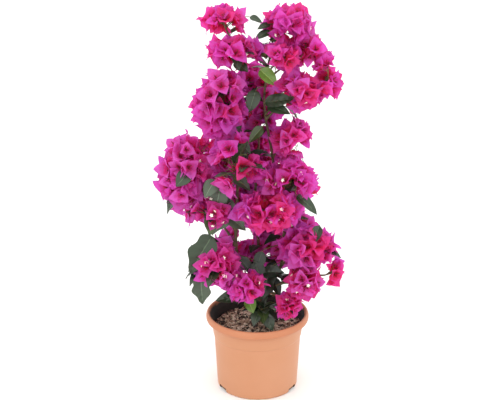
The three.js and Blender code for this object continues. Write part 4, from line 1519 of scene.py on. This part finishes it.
# --- The bush ---
def grow_bush():
    """The limbs, and what grows on them in each mass."""
    trunk = make_limb(Spline(TRUNK.points), trunk_radius_at, "trunk")
    stems = {"trunk": trunk}
    for name, stem in STEMS.items():
        stems[name] = make_limb(Spline(stem.points), taper(stem.root_radius, stem.tip_radius), "stem")
    limbs = list(stems.values())
    masses = make_masses()
    boughs = {}
    for mass in masses:
        if mass.stem in STEMS and STEMS[mass.stem].carries == mass.name:
            boughs[mass.name] = stems[mass.stem]
            continue
        boughs[mass.name] = make_bough(mass, stems[mass.stem])
        limbs.append(boughs[mass.name])
    bridges = make_bridges()
    crown = masses + bridges
    growths = [grow_mass(mass, i, boughs[mass.name], limbs, crown) for i, mass in enumerate(masses)]
    ends = np.array([twig.curve.point(1) for growth in growths for twig in growth.twigs])
    for i, growth in enumerate(growths):
        draw = seeded(FINE_SEED + SEED + SEED_STEP * i)
        ends = grow_finer(growth, growth.mass, ends, draw)
        for bridge in bridges:
            if bridge.carrier == growth.mass.name:
                ends = grow_finer(growth, bridge, ends, draw)
        open_up(growth)
    return limbs, growths


def limb_nodes():
    masses = [name for name, *_ in MASSES]
    carried = [stem.carries for stem in STEMS.values()]
    return ["trunk", *STEMS, *["bough_" + name for name in masses if name not in carried]]


def mass_nodes(blossoming):
    """The nodes of the masses with blossom, or of those with leaves alone."""
    return ["mass_" + name for name, _, _, _, blossom, _ in MASSES if (blossom > 0) == blossoming]


LIMB_SIDES = {"trunk": 28, "stem": 16, "bough": 12, "mass": 8}
SEED_PER_LIMB = 3.7
MASS_STEM_SEED = 90


def make_limbs(limbs, growths, materials):
    """The trunk, stems and boughs, and the stem inside each mass, with their bark."""
    piece = Piece("bark", materials, "bark", limb_nodes())
    for i, limb in enumerate(limbs):
        radius_at = limb.radius_at if limb.kind == "trunk" else collared(limb.radius_at)
        is_young = int(limb.kind == "bough")
        add_limb(piece, limb.curve, radius_at, LIMB_SIDES[limb.kind], SEED_PER_LIMB * i, is_young)
    for i, growth in enumerate(growths):
        radius_at = taper(growth.stem_radius, MASS_STEM.tip_radius)
        add_limb(piece, growth.stem, radius_at, LIMB_SIDES["mass"], MASS_STEM_SEED + SEED_PER_LIMB * i, 1)
    piece.build()


# The masses whose bracts are joined in one piece, by their places in the list.
BRACT_PIECES = {
    "bracts_top": slice(0, 7),
    "bracts_middle": slice(7, 14),
    "bracts_low": slice(14, 22),
    "bracts_back": slice(22, 28),
}


# The radii of thin forms, at the root and at the tip. Those of a twig are shares of its own.
THICK_END = 1.25
THIN_END = 0.75
FLOWER_STALK = (0.5, 0.5)
LEAF_STALK = (0.6, 0.5)
STANDING_STALK = (0.8, 0.6)


def add_thin(piece, curve, root_radius, tip_radius, shade, sides=6):
    """A plain tube for a twig or stalk."""
    path = path_along(curve, THIN_SPACING)
    piece.add(*tube(path, np.linspace(root_radius, tip_radius, len(path)), sides), shade)


def make_twigs(growths, leaves, materials):
    """The twigs, with the stalks of the flowers and of the leaves that grow by the rule."""
    piece = Piece("twigs", materials, "bark", mass_nodes(True))
    for growth in growths:
        for twig in growth.twigs:
            is_fine = int(twig.radius < TWIG.radius)
            add_thin(piece, twig.curve, twig.radius * THICK_END, twig.radius * THIN_END, is_fine)
        for flower in growth.flowers:
            if flower.root is not None:
                add_thin(piece, line(flower.root, flower.hub), *FLOWER_STALK, 1, sides=4)
    for leaf in leaves:
        if leaf.base != leaf.root:
            add_thin(piece, line(leaf.root, leaf.base), *LEAF_STALK, 1, sides=5)
    piece.build()


def make_blossom(growths, bract_materials, flower_materials):
    """The bracts and the small flowers in them. Each spray of blossom has one shade."""
    flowers = Piece("flowers", flower_materials, "blossom", mass_nodes(True))
    draw = seeded(SEED)
    shades = list(BRACT_SHADES)
    for name, members in BRACT_PIECES.items():
        chosen = [growth for growth in growths[members] if growth.mass.blossom]
        bracts = Piece(name, bract_materials, "blossom", ["mass_" + growth.mass.name for growth in chosen])
        for growth in chosen:
            first = int(draw() * len(OUTER_DEAL))
            for flower in growth.flowers:
                # sprays deep in their mass take redder colours: painted shade of the crown's inside
                deal = INNER_SHADE_DEAL if depth_in(growth.mass, flower.hub) < INNER_SHADE_DEPTH else OUTER_DEAL
                shade = shades.index(deal[(first + 3 * flower.shade) % len(deal)])
                add_flower(bracts, flowers, flower, shade, growth.mass.open_share, draw)
        bracts.build()
    flowers.build()


def make_leaves(leaves, materials):
    """The leaves that grow by the rule, and those that stand out."""
    piece = Piece("leaves", materials, "leaf", mass_nodes(False))
    draw = seeded(SEED + 1)
    shades = list(LEAF_SHADES)
    for i, leaf in enumerate(leaves):
        along, normal, _ = leaf_frame(leaf.out)
        shade = shades.index(LEAF_DEAL[(5 * leaf.shade + i) % len(LEAF_DEAL)])
        width = between(*LEAF_WIDTHS, draw())
        add_leaf(piece, leaf.base, along, normal, leaf.length, width, shade, draw)
    for base, tip, width, shade in STANDING_OUT:
        along = (Vector(tip) - Vector(base)).normalized()
        normal = (TOWARDS_FRONT - along * TOWARDS_FRONT.dot(along)).normalized()
        length = (Vector(tip) - Vector(base)).length
        add_leaf(piece, Vector(base), along, normal, length, width, shades.index(shade), draw)
    piece.build()


STALK_PLACES = (0, 0.25, 0.5, 0.75)  # on a twig
STALK_BEND = 6  # how far behind the leaf its stalk bends


def make_leaf_stalks(growths, limbs, materials):
    """The stalk of each leaf that stands out, from the nearest limb or twig."""
    piece = Piece("leaf_stalks", materials, "bark", mass_nodes(False))
    anchors = [point for limb in limbs for point in limb.samples]
    for growth in growths:
        for twig in growth.twigs:
            anchors += [twig.curve.point(place) for place in STALK_PLACES]
    anchors = np.array(anchors)
    for base, tip, _, _ in STANDING_OUT:
        base = Vector(base)
        behind = base - (Vector(tip) - base).normalized() * STALK_BEND
        nearest = Vector(anchors[np.argmin(np.linalg.norm(anchors - np.array(behind), axis=1))])
        add_thin(piece, Bezier(nearest, behind, base), *STANDING_STALK, 1)
    piece.build()


def make_bush():
    """The limbs with their bark, the twigs, the blossom and the leaves."""
    limbs, growths = grow_bush()
    draw = seeded(SEED + 2)
    leaves = [leaf for growth in growths for leaf in growth.leaves]
    for limb in limbs:
        if limb.kind != "trunk":
            leaves += leaves_along(limb, draw)

    old = [(0.3, "3f3126"), (0.55, "6a5744"), (0.75, "8a7862")]
    young = [(0.3, "4b4630"), (0.7, "75694a")]
    bark_materials = [
        patterned_material("bark", 260, old, 0.85, (0.5, 0.0006), (1, 1, 0.35)),
        patterned_material("young_bark", 320, young, 0.75, (0.35, 0.0004), (1, 1, 0.4)),
    ]
    make_limbs(limbs, growths, bark_materials)
    twig_materials = [
        plain_material("twig_brown", "5f5236", 0.75),
        plain_material("twig_green", "6b6f3c", 0.65),
    ]
    make_twigs(growths, leaves, twig_materials)
    make_leaf_stalks(growths, limbs, twig_materials)

    bract_materials = [
        papery_material(f"bract_{shade}_{zone}", colour)
        for shade, colours in BRACT_SHADES.items()
        for zone, colour in enumerate(colours)
    ]
    flower_materials = [
        # the tube's dark crimson is partly painted shade of the flower's throat
        plain_material("flower_tube", "8e1c3c", 0.6),
        plain_material("flower_star", "faf4e2", 0.55),
    ]
    make_blossom(growths, bract_materials, flower_materials)
    leaf_materials = [
        plain_material(f"leaf_{shade}_{part}", colour, 0.36)
        for shade, colours in LEAF_SHADES.items()
        for part, colour in zip(("blade", "rib"), colours)
    ]
    make_leaves(leaves, leaf_materials)


def fill_pot():
    """The soil in the pot, with what lies on it."""
    # the darkest peat colours fall in the relief's hollows: partly the peat's own tone, partly painted shade
    peat = [(0.4, "140d0a"), (0.5, "5e4638"), (0.6, "b8957f"), (0.72, "e6d4c6")]
    make_soil([patterned_material("peat", 170, peat, 0.95, (0.8, 0.001), detail=10)])
    crumbs = [
        ("peat_dark", [(0.35, "1a110d"), (0.65, "463329")], 0.95),
        ("peat_brown", [(0.35, "6e5344"), (0.65, "b8957f")], 0.95),
        ("bark_chip", [(0.3, "987966"), (0.7, "e2cab6")], 0.9),
    ]
    crumb_materials = [
        patterned_material(name, 300, stops, roughness, (0.6, 0.0006)) for name, stops, roughness in crumbs
    ]
    make_crumbs(crumb_materials, seeded(SEED + 3))
    fibre_materials = [
        plain_material("fibre_pale", "dcc4a4", 0.8),
        plain_material("fibre_brown", "8f7156", 0.85),
    ]
    make_fibres(fibre_materials, seeded(SEED + 4))


# --- Studio ---
CAMERA = SimpleNamespace(place=(-0.0137, -1.8, 0.9839), pitch=19.07, lens=76.85, sensor=36)
LIGHTS = {"key": ((-1.2, -1.9, 1.7), 4), "fill": ((1.7, -1.6, 0.9), 2)}  # the place and the power of each
LIGHT_SIZE = 1.8
LIT_POINT = Vector((0, 0, 0.35))
SKY_STRENGTH = 1.58
FLOOR_RADIUS = 14


def make_camera():
    data = bpy.data.cameras.new("camera")
    data.lens = CAMERA.lens
    data.sensor_width = CAMERA.sensor
    camera = add_object("camera", data)
    camera.location = CAMERA.place
    camera.rotation_euler = (math.radians(90 - CAMERA.pitch), 0, 0)
    bpy.context.scene.camera = camera


def make_lights():
    for name, (at, power) in LIGHTS.items():
        data = bpy.data.lights.new(name, "AREA")
        data.size = LIGHT_SIZE
        data.energy = power
        light = add_object(name, data)
        light.location = at
        light.rotation_euler = (LIT_POINT - Vector(at)).to_track_quat("-Z", "Y").to_euler()


def make_studio():
    """The floor, and an even white sky."""
    mesh = bmesh.new()
    bmesh.ops.create_circle(mesh, cap_ends=True, segments=96, radius=FLOOR_RADIUS)
    floor = object_from("floor", mesh)
    floor.data.materials.append(plain_material("floor_paint", "f2f1ef", 0.9, 0.1))
    world = bpy.data.worlds.new("studio")
    world.use_nodes = True
    background = world.node_tree.nodes["Background"]
    background.inputs["Color"].default_value = (1, 1, 1, 1)
    background.inputs["Strength"].default_value = SKY_STRENGTH
    bpy.context.scene.world = world
    bpy.context.scene.view_settings.view_transform = "Standard"


make_bush()
make_pot()
fill_pot()
make_studio()
make_lights()
make_camera()
bpy.context.view_layer.update()
